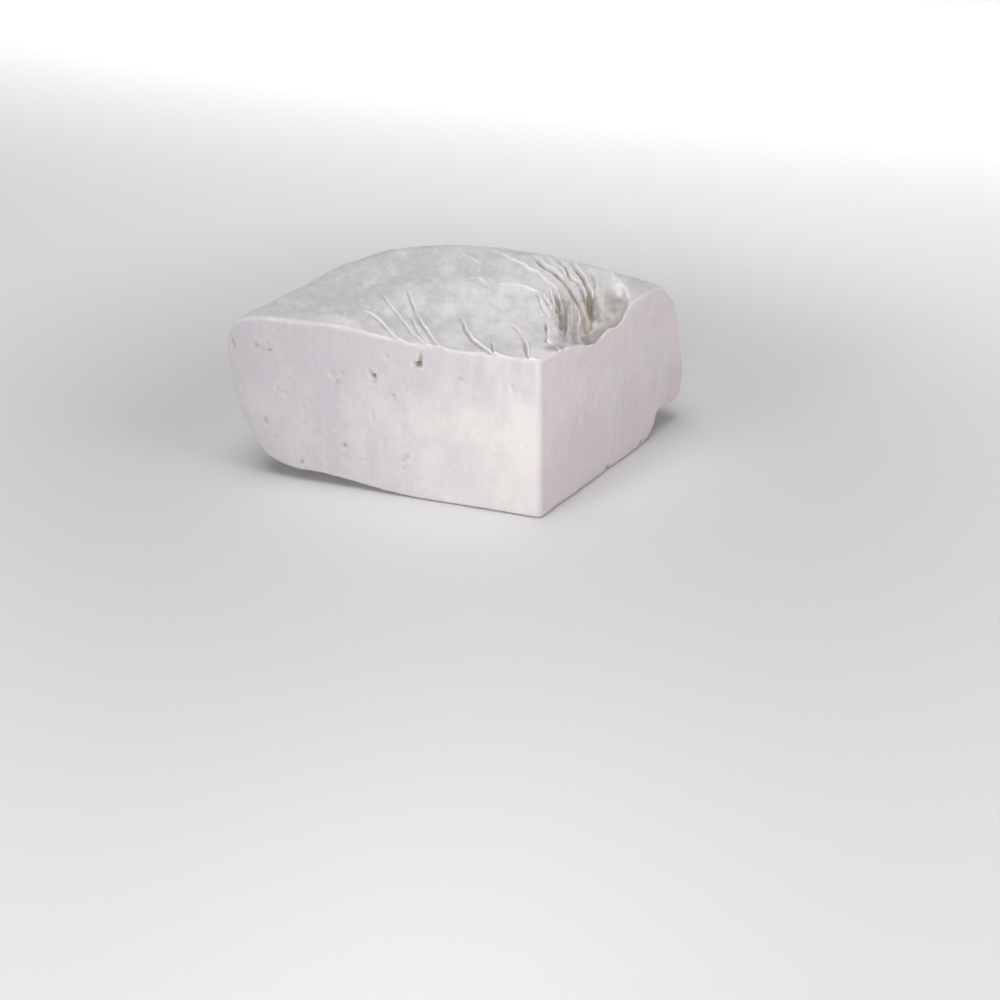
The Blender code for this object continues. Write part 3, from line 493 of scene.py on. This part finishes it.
def fold_relief(x, y):
    """Height of the folds, and the tone that they give: above zero in a groove, where it darkens the rind
    with stain and painted shade, and below zero on a lip, where it pales the rind with a painted
    highlight.
    """
    height = np.zeros(np.shape(x))
    tone = np.zeros(np.shape(x))
    near_cut = EDGE_CALM + (1 - EDGE_CALM) * ramp(y, 0.0, EDGE_CALM_WIDTH)
    wander = uneven(x, y, FOLD_WANDER)
    change = 1.0 + uneven(x, y, FOLD_CHANGE)
    for groove, lip, width, lip_end, route in FOLDS:
        aside, passed = side_of_route(x, y, smooth(route))
        across = (aside + wander) / width
        fade = change * ramp(passed, 0.0, FOLD_GROWS) * ramp(passed, 1.0, 1.0 - FOLD_ENDS)
        cut_in = groove * fade * near_cut * bell(across, *GROOVE_SECTION)
        lip = lip * fade * ramp(passed, lip_end + LIP_FADES, lip_end)
        raised = lip * bell(across, *LIP_SECTION)
        behind = RISE_SHARE * lip * bell(across, *RISE_SECTION)
        height = height - GROOVE_GAIN * cut_in + raised + behind
        # A groove's tone darkens the rind with stain and painted shade; a lip's tone pales it with a
        # painted highlight
        tone = tone + cut_in - raised * min(LIP_HIGHLIGHT[0], LIP_HIGHLIGHT[1] / width)
    start, full, share = SHOULDER_CALM
    calm = 1.0 - (1.0 - share) * ramp(polar(x, y)[0], start, full)
    return height * calm, tone * calm


def rim_relief(x, y):
    """Folds that run down the side, over the unrolled rim."""
    radius, direction = polar(x, y)
    height = np.zeros(np.shape(x))
    for middle, lean, depth, width in RIM_FOLDS:
        turn = direction - middle - lean * (radius - RIM_FOLD_LEVEL) / 100.0
        across = np.radians(turn) * WHEEL_RADIUS / width
        height = height - depth * bell(across, *RIM_GROOVE_SECTION)
        height = height + RIM_RISE_SHARE * depth * bell(across, *RIM_RISE_SECTION)
    return height * ramp(radius, *RIM_FOLD_FADE)


# Finer relief of the rind

def gather_relief(x, y):
    """Lumps where the cloth was gathered, drawn out along its folds."""
    height, size = GATHER
    inside, u, v = region(x, y, GATHER_PLACE)
    return height * inside * lumps(u, v, size, GATHER_SQUEEZE)


def stripes(x, y):
    """The fine gathers of the right slope, between about -1 and 1."""
    _, spacing, length = STRIPES
    bend, bend_size = STRIPE_BEND
    share, closer = FINER_STRIPES
    inside, u, v = region(x, y, STRIPE_PLACE)
    bent = (v + bend * lumps(u, v, bend_size)) * length / spacing
    return inside * (lumps(bent, u, length) + share * lumps(closer * bent, u, length))


def crumples(x, y):
    """The crumpled lumps, from below zero in their gaps to CRUMPLE_RIDGE at their highest."""
    inside, u, v = region(x, y, CRUMPLE_PLACE)
    return inside * (CRUMPLE_RIDGE - np.abs(lumps(u, v, CRUMPLE[1], CRUMPLE_SQUEEZE)))


def specks(x, y):
    """Small dents strewn over the rind."""
    random = np.random.default_rng(SPECK_SEED)
    total = np.zeros(np.shape(x))
    for _ in range(SPECKS):
        cx, cy, size, depth = (random.uniform(*ends) for ends in SPECK_RANGES)
        total = total - depth * np.exp(-((x - cx) ** 2 + SPECK_SQUASH * (y - cy) ** 2) / size ** 2)
    return total


def patches(x, y, table):
    """Strength of the patches of a table, with ragged edges."""
    ragged, size = PATCH_EDGES
    ragged = 1.0 + ragged * lumps(x, y, size, PATCH_SQUEEZE)
    total = np.zeros(np.shape(x))
    for place, share in table:
        total = total + share * region(x, y, place)[0] * ragged
    return total


def stain_and_shade_share(x, y):
    """How far the rind is darkened, away from its creases: partly by stains and partly by painted shade on
    the right slope, in its hollows, in the valleys of the gathers and in the gaps between the crumples.
    """
    return patches(x, y, STAINS_AND_SHADE) - STRIPE_SHADE * stripes(x, y) - CRUMPLE_SHADE * crumples(x, y)


def relief(x, y):
    """Height of all that the cloth left on the unrolled rind, and the tones of its creases, stains,
    painted shade and painted highlights.
    """
    folds, creases = fold_relief(x, y)
    total = folds + rim_relief(x, y) + gather_relief(x, y) + STRIPES[0] * stripes(x, y) + specks(x, y)
    total = total + CRUMPLE[0] * crumples(x, y) + uneven(x, y, LUMPS) + uneven(x, SKIN_SQUEEZE * y, SKIN)
    least, varies, size = LIP_CHANGE
    lip = bell(y, 0.0, LIP[1]) * (least + varies * lumps(x, y, size)) * ramp(x, *LIP_GROWS) * (x < 0)
    # The left cut's edge lip and the highlight patches get a painted highlight through a tone below zero
    creases = creases - EDGE_LIP_HIGHLIGHT * lip - patches(x, y, HIGHLIGHT_PATCHES)
    return total + LIP[0] * lip, np.stack((creases, stain_and_shade_share(x, y)), -1)


# Top and base

def top_height(x, y):
    """Height of the top without its folds."""
    radius, _ = polar(x, y)
    height = CUT_HEIGHT + RING_RISE * ramp(radius, *RING) - SHOULDER_FALL * ramp(radius, *SHOULDER)
    for cx, cy, along, across, turn, depth in TOP_DENTS:
        u, v = turned(x, y, cx, cy, turn)
        height = height + depth * bell(u, 0.0, along) * bell(v, 0.0, across)
    return height


def top_point(x, y):
    """Height of the top with its folds, and its tones."""
    height, tones = relief(x, y)
    return top_height(x, y) + height, tones


def base_point(x, y):
    """Height of the base, flat in the middle and rising towards the rim's edge, and its tones, none."""
    radius, direction = polar(x, y)
    direction = np.where(direction > STRAIGHT_FORWARD, RIGHT_END, direction)
    last = profile_points(np.clip(np.ravel(direction), RIGHT_END, LEFT_END))[:, -1]
    edge = rim_radius(np.clip(direction, RIGHT_END, LEFT_END)) - last[:, 0].reshape(np.shape(x))
    flat = FLAT_RADIUS[0] + (FLAT_RADIUS[1] - FLAT_RADIUS[0]) * ramp(direction, *FLAT_TURN)
    return last[:, 1].reshape(np.shape(x)) * ramp(radius, flat, edge), np.zeros(np.shape(x) + (2,))


# Cut faces

def edge_x(height):
    """How far the leaning edge between the cuts stands from the vertical."""
    return -EDGE_LEAN * height / CUT_HEIGHT


def streaks(u, v):
    """Faint upright marks of the knife, and the curd's soft unevenness."""
    height, spacing, length = STREAKS
    return height * lumps(u, v, length, (length / spacing, 1.0)) + uneven(u, v, CURD_LUMPS)


class Cut:
    """A cut face: the ways that it runs and faces, its length, its holes, the seed of its pinholes, and
    how far the noise of its wobble and of its streaks is shifted. A place on it is its reach, which is
    its distance from the edge between the cuts, and its height."""

    def __init__(self, way, out, length, table, seed, shifts):
        self.way, self.out, self.length = way, out, length
        self.table, self.seed, self.shifts = table, seed, shifts

    def holes(self, reach, height):
        """Depth of the ragged holes, with a low rim around each."""
        along = reach * math.copysign(1.0, self.way[0])
        ragged, size = HOLE_EDGES
        x = along + ragged * lumps(along, height, size)
        z = height + ragged * lumps(height + HOLE_SHIFT, along, size)
        rim, rim_place = HOLE_RIM
        depth = np.zeros(np.shape(reach))
        for cx, cz, half_x, half_z, deep in self.table:
            away = ((x - cx) / half_x) ** 2 + ((z - cz) / half_z) ** 2
            depth = depth + deep * (np.exp(-away ** HOLE_STEEPNESS) - rim * bell(away, rim_place, 1.0))
        return depth

    def pinholes(self, reach, height):
        """Depth of the small round and drawn-out holes strewn over the face."""
        random = np.random.default_rng(self.seed)
        first, last = PINHOLE_MARGINS
        depth = np.zeros(np.shape(reach))
        for _ in range(PINHOLES):
            cx = random.uniform(first, self.length - last)
            cz, half_x, half_z, deep = (random.uniform(*ends) for ends in PINHOLE_RANGES)
            depth = depth + deep * bell(reach, cx, half_x) * bell(height, cz, half_z)
        return depth

    def point(self, reach, height, with_holes=True):
        """The face's points in space."""
        wobble_shift, streak_shift = self.shifts
        wobble = lumps(reach + wobble_shift, height, WOBBLE_SIZE, WOBBLE_SQUEEZE)
        out = CUT_WOBBLE * wobble * ramp(reach, 0.0, WOBBLE_START)
        if with_holes:
            out = out - self.holes(reach, height) - self.pinholes(reach, height)
            out = out + streaks(reach + streak_shift, height)
        lean = edge_x(height) * (1 - reach / self.length)
        x = reach * self.way[0] + self.out[0] * out + lean
        y = reach * self.way[1] + self.out[1] * out
        return np.stack((x, y, height), -1)

    def reach(self, points):
        """The reach of points in space."""
        lean = edge_x(points[:, 2]) * self.way[0]
        return (points[:, :2] @ self.way - lean) / (1 - lean / self.length)

    def edge(self, end, level, surface):
        """Points where the face meets the top or the base, which is near a level, out to the rim."""
        reach = between(0.0, end, EDGE_STEP)
        flat = self.point(reach, np.full(len(reach), level), False)
        return self.point(reach, surface(flat[:, 0], flat[:, 1])[0], False)


LEFT_CUT = Cut(np.array((-1.0, 0.0)), np.array((0.0, -1.0)), LEFT_LENGTH, LEFT_HOLES, 3, (0.0, 0.0))
RIGHT_CUT = Cut(RIGHT_WAY, RIGHT_OUT, RIGHT_LENGTH, RIGHT_HOLES, 5, (150.0, 200.0))


def between(start, end, step):
    """Evenly spaced distances from start to end, both left out."""
    count = max(int(round(abs(end - start) / step)), 2)
    return np.linspace(start, end, count + 1)[1:-1]


def cut_edge():
    """The edge between the cuts, from the base to the top."""
    top = top_point(np.array([edge_x(CUT_HEIGHT)]), np.array([0.0]))[0][0]
    height = np.concatenate(([0.0], between(0.0, top, EDGE_STEP), [top]))
    return LEFT_CUT.point(np.zeros(len(height)), height, False)


# The rim as a grid

def broken_relief(x, y, direction, places):
    """Rough break of the chipped lower edge."""
    share = ramp(direction, *CHIP_ENDS)[:, None]
    low = ramp(places, *BREAK_START)[None] * ramp(places, *BREAK_END)[None]
    return share * low * uneven(x, y, BREAK_LUMPS)


def outward(radius, height):
    """Ways out of the rim's surface, along its columns. For its top row that is straight up."""
    slope_r, slope_z = np.gradient(radius, axis=1), np.gradient(height, axis=1)
    size = np.hypot(slope_r, slope_z)
    out_r, out_z = -slope_z / size, slope_r / size
    out_r[:, 0], out_z[:, 0] = 0.0, 1.0
    return out_r, out_z


def unroll(radius, height, way):
    """Places of the rim's points once it is rolled out flat around the top."""
    passed = np.hypot(np.diff(radius, axis=1), np.diff(height, axis=1)).cumsum(axis=1)
    unrolled = radius[:, :1] + np.concatenate((np.zeros((COLUMNS, 1)), passed), axis=1)
    return CENTRE[0] + unrolled * way[..., 0], CENTRE[1] + unrolled * way[..., 1]


def rim_grid():
    """Points of the rim (columns, rows, 3), from the left cut to the right one, and their tones."""
    places = np.linspace(0, len(PROFILE_LEFT) - 1, ROWS_A_POINT * (len(PROFILE_LEFT) - 1) + 1)
    share = np.linspace(0, 1, COLUMNS)
    middle = LEFT_END + (RIGHT_END - LEFT_END) * share
    section = curve(profile_points(middle), places)
    radius = rim_radius(middle)[:, None] - section[:, :, 0]
    first, last = end_directions(radius)
    direction = np.radians(first + (last - first) * share[:, None])
    way = np.stack((np.cos(direction), np.sin(direction)), -1)

    start = CENTRE + radius[:, :1, None] * way[:, :1]
    rise = top_height(start[..., 0], start[..., 1]) - section[:, :1, 1]
    height = section[:, :, 1] + rise * ramp(places, SHOULDER_END, 0.0)[None]

    x, y = unroll(radius, height, way)
    out_r, out_z = outward(radius, height)
    settle = ramp(places, *RELIEF_END)[None]
    push, tones = relief(x, y)
    push = push * settle + broken_relief(x, y, middle, places)
    radius, height = radius + push * out_r, height + push * out_z
    grid = np.concatenate((CENTRE + radius[..., None] * way, height[..., None]), -1)
    grid[:, -1, 2] = base_point(grid[:, -1, 0], grid[:, -1, 1])[0]

    for column, cut in ((0, LEFT_CUT), (-1, RIGHT_CUT)):
        grid[column] = cut.point(grid[column, :, :2] @ cut.way, grid[column, :, 2], False)
    return grid, tones * settle[..., None]


# Sheets of triangles

def within(points, loop, margin):
    """Which points lie in a closed loop, at least a margin away from it."""
    keep = np.zeros(len(points), bool)
    near = np.full(len(points), 1e9)
    x, y = points[:, 0], points[:, 1]
    for (ax, ay), (bx, by) in zip(loop, np.roll(loop, -1, axis=0)):
        if ay != by:
            keep ^= ((ay > y) != (by > y)) & (x < ax + (bx - ax) * (y - ay) / (by - ay))
        length = max(math.hypot(bx - ax, by - ay), 1e-9)
        t = np.clip(((x - ax) * (bx - ax) + (y - ay) * (by - ay)) / length, 0, length)
        near = np.minimum(near, np.hypot(x - ax - t * (bx - ax) / length, y - ay - t * (by - ay) / length))
    return keep & (near > margin)


def honeycomb(loop, step):
    """Points of a triangular grid over a loop."""
    low, high = loop.min(axis=0), loop.max(axis=0)
    rows = int((high[1] - low[1]) / (step * ROW_RISE)) + 1
    across = int((high[0] - low[0]) / step) + 1
    i, j = np.meshgrid(np.arange(across + 1), np.arange(rows + 1))
    x = low[0] + step * (i + 0.5 * (j % 2))
    y = low[1] + step * ROW_RISE * j
    return np.stack((x.ravel(), y.ravel()), -1)


class Shell:
    """Triangles of all the sheets. Points that two sheets share become one vertex.
    Each vertex has its tones: how far it is cut curd, how deep it lies in a crease, which darkens it with
    stain and painted shade (or how high on a lip, below zero, which pales it with a painted highlight),
    how far it is darkened by stains and painted shade, and how deep it lies in a hole, which darkens it
    with painted shade."""

    def __init__(self):
        self.points, self.tones, self.faces = [], [], []
        self.index = {}

    def vertex(self, point, tone):
        key = tuple(round(float(value), 5) for value in point)
        if key not in self.index:
            self.index[key] = len(self.points)
            self.points.append(key)
            self.tones.append(tone)
        return self.index[key]

    def face(self, ids, flip):
        if len(set(ids)) == 3:
            self.faces.append(ids[::-1] if flip else ids)

    def sheet(self, flat_loop, loop, flat_inner, inner, tones, flip):
        """A flat loop and inner points, triangulated and laid on their points in space."""
        flat = [Vector(point) for point in np.concatenate((flat_loop, flat_inner))]
        outline = [list(range(len(flat_loop)))]
        _, _, faces, origin, _, _ = delaunay_2d_cdt(flat, [], outline, 1, 1e-6)
        solid = np.concatenate((loop, inner)).tolist()
        ids = [self.vertex(point, tone) for point, tone in zip(solid, tones)]
        for face in faces:
            self.face([ids[origin[corner][0]] for corner in face], flip)

    def grid(self, grid, tones):
        """A grid of points, its cells cut into triangles one way and the other in turn."""
        columns, rows = tones.shape[:2]
        ids = [[self.vertex(grid[i, j], (0.0, *tones[i, j], 0.0)) for j in range(rows)]
               for i in range(columns)]
        for i in range(columns - 1):
            for j in range(rows - 1):
                p, q, r, s = ids[i][j], ids[i][j + 1], ids[i + 1][j + 1], ids[i + 1][j]
                halves = ((p, q, r), (p, r, s)) if (i + j) % 2 else ((p, q, s), (q, r, s))
                for half in halves:
                    self.face(half, True)


def cut_sheet(shell, cut, edge, top, rim, base, flip):
    """A cut face between the cuts' edge, the top, the rim and the base."""
    loop = np.concatenate((edge, top, rim, base[::-1]))
    flat_loop = np.stack((cut.reach(loop), loop[:, 2]), -1)
    field = honeycomb(flat_loop, CUT_STEP)
    flat = field[within(field, flat_loop, 0.5 * CUT_STEP)]
    depth = cut.holes(flat[:, 0], flat[:, 1])
    tones = [(1.0, 0.0, 0.0, 0.0)] * len(loop) + [(1.0, 0.0, 0.0, deep) for deep in depth]
    shell.sheet(flat_loop, loop, flat, cut.point(flat[:, 0], flat[:, 1]), tones, flip)


def near_folds(x, y):
    """Which points of the top lie near a fold or in the gathered cloth."""
    near = region(x, y, CRUMPLE_PLACE)[0] > FINE_CLOTH[0]
    near |= region(x, y, STRIPE_PLACE)[0] > FINE_CLOTH[1]
    widths, more = FINE_FOLDS
    for _, _, width, _, route in FOLDS:
        near |= np.abs(side_of_route(x, y, route)[0]) < widths * width + more
    return near


def top_field(loop):
    """Points over the top, closer together near the folds."""
    fine, coarse = honeycomb(loop, FINE_STEP), honeycomb(loop, TOP_STEP)
    return np.concatenate((fine[near_folds(*fine.T)], coarse[~near_folds(*coarse.T)]))


def level_sheet(shell, loop, field, step, surface, flip):
    """The top or the base, over the loop of its edge."""
    flat = field[within(field, loop[:, :2], 0.5 * step)]
    level, tones = surface(flat[:, 0], flat[:, 1])
    inner = np.column_stack((flat, level))
    tones = [(0.0, 0.0, 0.0, 0.0)] * len(loop) + [(0.0, *tone, 0.0) for tone in tones]
    shell.sheet(loop[:, :2], loop, flat, inner, tones, flip)


def build_shell():
    """All the sheets, and the points along the sharp edges."""
    shell = Shell()
    rim, tones = rim_grid()
    shell.grid(rim, tones)
    edge = cut_edge()
    tops, bases = [], []
    for cut, side, flip in ((LEFT_CUT, rim[0], True), (RIGHT_CUT, rim[-1], False)):
        top_end, base_end = cut.reach(side[[0, -1]])
        tops.append(cut.edge(top_end, CUT_HEIGHT, top_point))
        bases.append(cut.edge(base_end, 0.0, base_point))
        cut_sheet(shell, cut, edge, tops[-1], side, bases[-1], flip)
    loop = np.concatenate((edge[-1:], tops[1], rim[::-1, 0], tops[0][::-1]))
    level_sheet(shell, loop, top_field(loop[:, :2]), FINE_STEP, top_point, False)
    loop = np.concatenate((edge[:1], bases[1], rim[::-1, -1], bases[0][::-1]))
    level_sheet(shell, loop, honeycomb(loop[:, :2], BASE_STEP), BASE_STEP, base_point, True)
    return shell, np.concatenate((edge, *tops, rim[0], rim[-1], *bases))


def soften(points, faces, sharp):
    """Rounds the mesh near the sharp edges by drawing points towards their neighbours' middle."""
    tree = KDTree(len(sharp))
    for index, point in enumerate(sharp):
        tree.insert(point, index)
    tree.balance()
    away = np.array([tree.find(point)[2] for point in points])
    near = np.clip(1.0 - away / SOFTEN, 0.0, 1.0)[:, None]
    ends = np.concatenate((faces[:, [0, 1]], faces[:, [1, 2]], faces[:, [2, 0]]))
    ends = np.concatenate((ends, ends[:, ::-1]))
    count = np.bincount(ends[:, 0], minlength=len(points))[:, None]
    for _ in range(SOFTEN_ROUNDS):
        middle = np.stack([np.bincount(ends[:, 0], points[ends[:, 1], axis], len(points))
                           for axis in range(3)], -1) / count
        points = points + near * (middle - points)
    return points


def build_cheese():
    """The dressed cheese as one closed mesh, in the place of the CAD solid."""
    shell, sharp = build_shell()
    faces = np.array(shell.faces)
    points = soften(np.array(shell.points), faces, sharp)
    low, high = points.min(axis=0), points.max(axis=0)
    points = (points - np.array(((low[0] + high[0]) / 2, (low[1] + high[1]) / 2, low[2]))) * MM
    mesh = bpy.data.meshes.new("white_cheese")
    mesh.from_pydata(points.tolist(), [], faces.tolist())
    mesh.update()
    mesh.shade_smooth()
    # The crease, stain and hole tones also carry painted shade, and the crease tone painted highlights
    for name, values in zip(("cut", "crease", "stain_and_shade", "hole"), np.array(shell.tones).T):
        layer = mesh.attributes.new(name, "FLOAT", "POINT")
        layer.data.foreach_set("value", values.astype(np.float32))
    cheese = bpy.data.objects.new("white_cheese", mesh)
    bpy.context.scene.collection.objects.link(cheese)
    return cheese


# Materials

class Nodes:
    """Short calls for building a node material."""

    def __init__(self, name):
        self.material = bpy.data.materials.new(name)
        self.material.use_nodes = True
        self.tree = self.material.node_tree
        self.shader = self.tree.nodes["Principled BSDF"]

    def link(self, value, socket):
        if isinstance(value, bpy.types.NodeSocket):
            self.tree.links.new(value, socket)
        else:
            socket.default_value = value

    def fill(self, node, inputs):
        """Links or sets a node's inputs by their names, with _ for a space."""
        for key, value in inputs.items():
            self.link(value, node.inputs[key.replace("_", " ")])

    def node(self, kind, settings=None, **inputs):
        node = self.tree.nodes.new(kind)
        for key, value in (settings or {}).items():
            setattr(node, key, value)
        self.fill(node, inputs)
        return node

    def surface(self, **inputs):
        self.fill(self.shader, inputs)

    def place(self, stretch=(1, 1, 1), turn=0.0):
        """Object coordinates in which a texture is stretched along axes turned about Z, in degrees."""
        spot = self.node("ShaderNodeTexCoord").outputs["Object"]
        rotation = (0.0, 0.0, math.radians(turn))
        return self.node("ShaderNodeMapping", {"vector_type": "TEXTURE"}, Vector=spot, Rotation=rotation,
                         Scale=stretch).outputs["Vector"]

    def parts(self, vector):
        node = self.node("ShaderNodeSeparateXYZ", Vector=vector)
        return node.outputs["X"], node.outputs["Y"], node.outputs["Z"]

    def noise(self, scale, detail, rough, place=None):
        return self.node("ShaderNodeTexNoise", Vector=place or self.place(), Scale=scale, Detail=detail,
                         Roughness=rough).outputs[0]

    def span(self, value, low, high, to_low=0.0, to_high=1.0):
        return self.node("ShaderNodeMapRange", {"interpolation_type": "SMOOTHSTEP"}, Value=value,
                         From_Min=low, From_Max=high, To_Min=to_low, To_Max=to_high).outputs["Result"]

    def mottle(self, pattern, place=None):
        """A pattern of noise, with the range that it takes in and the range that it gives."""
        scale, detail, rough, taken, given = pattern
        return self.span(self.noise(scale, detail, rough, place), *taken, *given)

    def maths(self, operation, value, *others):
        for other in others:
            node = self.node("ShaderNodeMath", {"operation": operation})
            self.link(value, node.inputs[0])
            self.link(other, node.inputs[1])
            value = node.outputs[0]
        return value

    def mix(self, share, a, b):
        node = self.node("ShaderNodeMix", {"data_type": "RGBA"})
        self.link(share, node.inputs[0])
        self.link(a, node.inputs[6])
        self.link(b, node.inputs[7])
        return node.outputs[2]

    def tone(self, name):
        return self.node("ShaderNodeAttribute", {"attribute_name": name}).outputs["Fac"]

    def bump(self, height, distance, strength=1.0, normal=None):
        node = self.node("ShaderNodeBump", Height=height, Distance=distance, Strength=strength)
        if normal is not None:
            self.link(normal, node.inputs["Normal"])
        return node.outputs["Normal"]


def rind_colour(n, across):
    """Colour of the rind: grey and white clouds, pale flecks, lips paled with a painted highlight, and
    patches and creases darkened partly by stains and partly by painted shade.
    """
    drawn_out = n.place(RIND_STRETCH, RIND_TURN)
    blotches = n.maths("MULTIPLY", n.mottle(RIND_BLOTCHES, drawn_out), n.span(across, *BLOTCHES_ACROSS))
    clouds = n.mottle(RIND_CLOUDS, drawn_out)
    colour = n.mix(n.maths("ADD", clouds, blotches, n.span(across, *RIND_ACROSS)), RIND_GREY, RIND_WHITE)
    flecks = n.mottle(RIND_FLECKS, drawn_out)
    colour = n.mix(n.maths("MULTIPLY", flecks, FLECK_SHARE), colour, RIND_PALE_AND_HIGHLIGHT)
    # The lips are paled with a painted highlight
    lips = n.span(n.maths("MULTIPLY", n.tone("crease"), -1.0), *LIP_TO_HIGHLIGHT)
    colour = n.mix(lips, colour, RIND_PALE_AND_HIGHLIGHT)
    clean = n.maths("SUBTRACT", 1.0, n.maths("MULTIPLY", lips, CLEAN_LIP))
    # Stains, and painted shade on the right slope, in its hollows and between the gathers and crumples
    stain_and_shade = n.maths("MULTIPLY", n.tone("stain_and_shade"), n.mottle(STAIN_AND_SHADE_PATTERN), clean)
    colour = n.mix(stain_and_shade, colour, RIND_STAIN_AND_SHADE)
    # The creases are darkened with stain and painted shade
    deep = n.span(n.tone("crease"), *CREASE_TO_STAIN_AND_SHADE)
    return n.mix(n.maths("MULTIPLY", deep, n.mottle(CREASE_PATTERN)), colour, CREASE_STAIN_AND_SHADE)


def cut_colour(n, across, up, marks):
    """Colour of the cut faces: cool and warm patches, a blush and pale knife marks, with painted light and
    shade: brighter towards the edge between the cuts, darker towards the top of the left cut, and on the
    right cut darker low down and across its middle, paler higher up and at its far end.
    """
    facing = n.parts(n.node("ShaderNodeNewGeometry").outputs["Normal"])[0]
    # Besides the curd's own patches, painted light and shade on the cut faces: brighter towards the edge
    # between the cuts, darker towards the top of the left cut, and on the right cut darker low down and
    # across its middle
    warm_and_lit = n.maths("ADD", n.mottle(CURD_PATCHES, n.place(CURD_STRETCH)), n.span(across, *CURD_LIGHT_ACROSS))
    left = n.maths("MULTIPLY", n.maths("SUBTRACT", 1.0, facing), n.span(up, *LEFT_SHADE_UP))
    right = n.maths("ADD", n.span(up, *RIGHT_LIGHT_AND_SHADE_UP), *[n.span(across, *turn) for turn in RIGHT_LIGHT_AND_SHADE_ACROSS])
    warm_and_lit = n.maths("ADD", warm_and_lit, left, n.maths("MULTIPLY", facing, right))
    colour = n.mix(warm_and_lit, CURD_COOL_AND_SHADE, CURD_WARM_AND_LIT)
    blush = n.mottle(BLUSH_PATTERN, n.place(BLUSH_STRETCH))
    blush = n.maths("ADD", blush, n.maths("MULTIPLY", facing, RIGHT_BLUSH))
    colour = n.mix(blush, colour, CURD_BLUSH)
    return n.mix(n.maths("MULTIPLY", n.span(marks, *MARKS_TO_PALE), MARK_SHARE), colour, CURD_PALE)


def curd_material():
    """White curd: a clouded rind, cut faces with knife marks and painted light and shade, creases darkened
    with stain and painted shade, holes darkened with painted shade, and lips paled with a painted
    highlight.
    """
    n = Nodes("curd")
    across, _, up = n.parts(n.place())
    marks = n.noise(*MARK_PATTERN, n.place(MARK_SIZE))
    colour = n.mix(n.tone("cut"), rind_colour(n, across), cut_colour(n, across, up, marks))
    colour = n.mix(n.span(n.tone("hole"), *HOLE_RIM_TO_PALE), colour, CURD_PALE)
    # Painted shade in the holes, darker the deeper they are
    colour = n.mix(n.span(n.tone("hole"), *HOLE_TO_SHADE), colour, HOLE_SHADE)
    rough = n.maths("SUBTRACT", n.mottle(ROUGH_PATTERN), n.maths("MULTIPLY", n.tone("cut"), CUT_SMOOTHER))
    normal = None
    for pattern, distance, strength in GRAIN:
        normal = n.bump(n.noise(*pattern), distance, strength, normal)
    normal = n.bump(marks, MARK_DEPTH, n.maths("MULTIPLY", n.tone("cut"), MARK_STRENGTH), normal)
    n.surface(Base_Color=colour, Roughness=rough, Normal=normal, Specular_IOR_Level=0.30,
              Subsurface_Weight=0.30, Subsurface_Radius=(1.0, 0.72, 0.55), Subsurface_Scale=0.0015)
    return n.material


def floor_material():
    n = Nodes("floor")
    place = n.node("ShaderNodeNewGeometry").outputs["Position"]
    away = n.node("ShaderNodeVectorMath", {"operation": "LENGTH"}, Vector=place).outputs["Value"]
    # Painted soft shadow round the cheese, fading into the pale floor further out
    colour = n.mix(n.span(away, *FLOOR_SHADOW_FADE), FLOOR_SHADOW, FLOOR_PALE)
    n.surface(Base_Color=colour, Roughness=0.75, Specular_IOR_Level=0.2)
    return n.material


# Stage

def build_floor():
    bpy.ops.mesh.primitive_plane_add(size=FLOOR_SIZE, location=FLOOR_MIDDLE)
    floor = bpy.context.object
    floor.name = "floor"
    floor.data.materials.append(floor_material())


def toward(azimuth, elevation):
    """Unit vector to a place seen at an azimuth (0 is -Y, 90 is +X) and an elevation."""
    a, e = math.radians(azimuth), math.radians(elevation)
    return Vector((math.sin(a) * math.cos(e), -math.cos(a) * math.cos(e), math.sin(e)))


def soft_light(name, aim, azimuth, elevation, distance, size, power, colour, spread):
    data = bpy.data.lights.new(name, "AREA")
    data.shape, data.energy, data.color = "ELLIPSE", power, colour
    data.size, data.size_y = size
    data.spread = math.radians(spread)
    light = bpy.data.objects.new(name, data)
    bpy.context.scene.collection.objects.link(light)
    way = toward(azimuth, elevation)
    light.location = Vector(aim) + way * distance
    light.rotation_euler = way.to_track_quat("Z", "Y").to_euler()


def build_lights():
    for light in LIGHTS:
        soft_light(*light)
    world = bpy.data.worlds.new("studio")
    bpy.context.scene.world = world
    world.use_nodes = True
    background = world.node_tree.nodes["Background"]
    background.inputs["Color"].default_value = AMBIENT_COLOUR
    background.inputs["Strength"].default_value = AMBIENT


def build_camera():
    data = bpy.data.cameras.new("camera")
    data.lens, data.sensor_width, data.clip_start = CAMERA_LENS, CAMERA_SENSOR, CAMERA_NEAREST
    camera = bpy.data.objects.new("camera", data)
    bpy.context.scene.collection.objects.link(camera)
    camera.location = CAMERA_PLACE
    camera.rotation_euler = toward(CAMERA_AZIMUTH, CAMERA_ELEVATION).to_track_quat("Z", "Y").to_euler()
    bpy.context.scene.camera = camera


cheese = build_cheese()
cheese.data.materials.append(curd_material())
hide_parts("cheese")
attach(cheese, "root")
build_floor()
build_lights()
build_camera()
bpy.context.scene.view_settings.view_transform = "Standard"
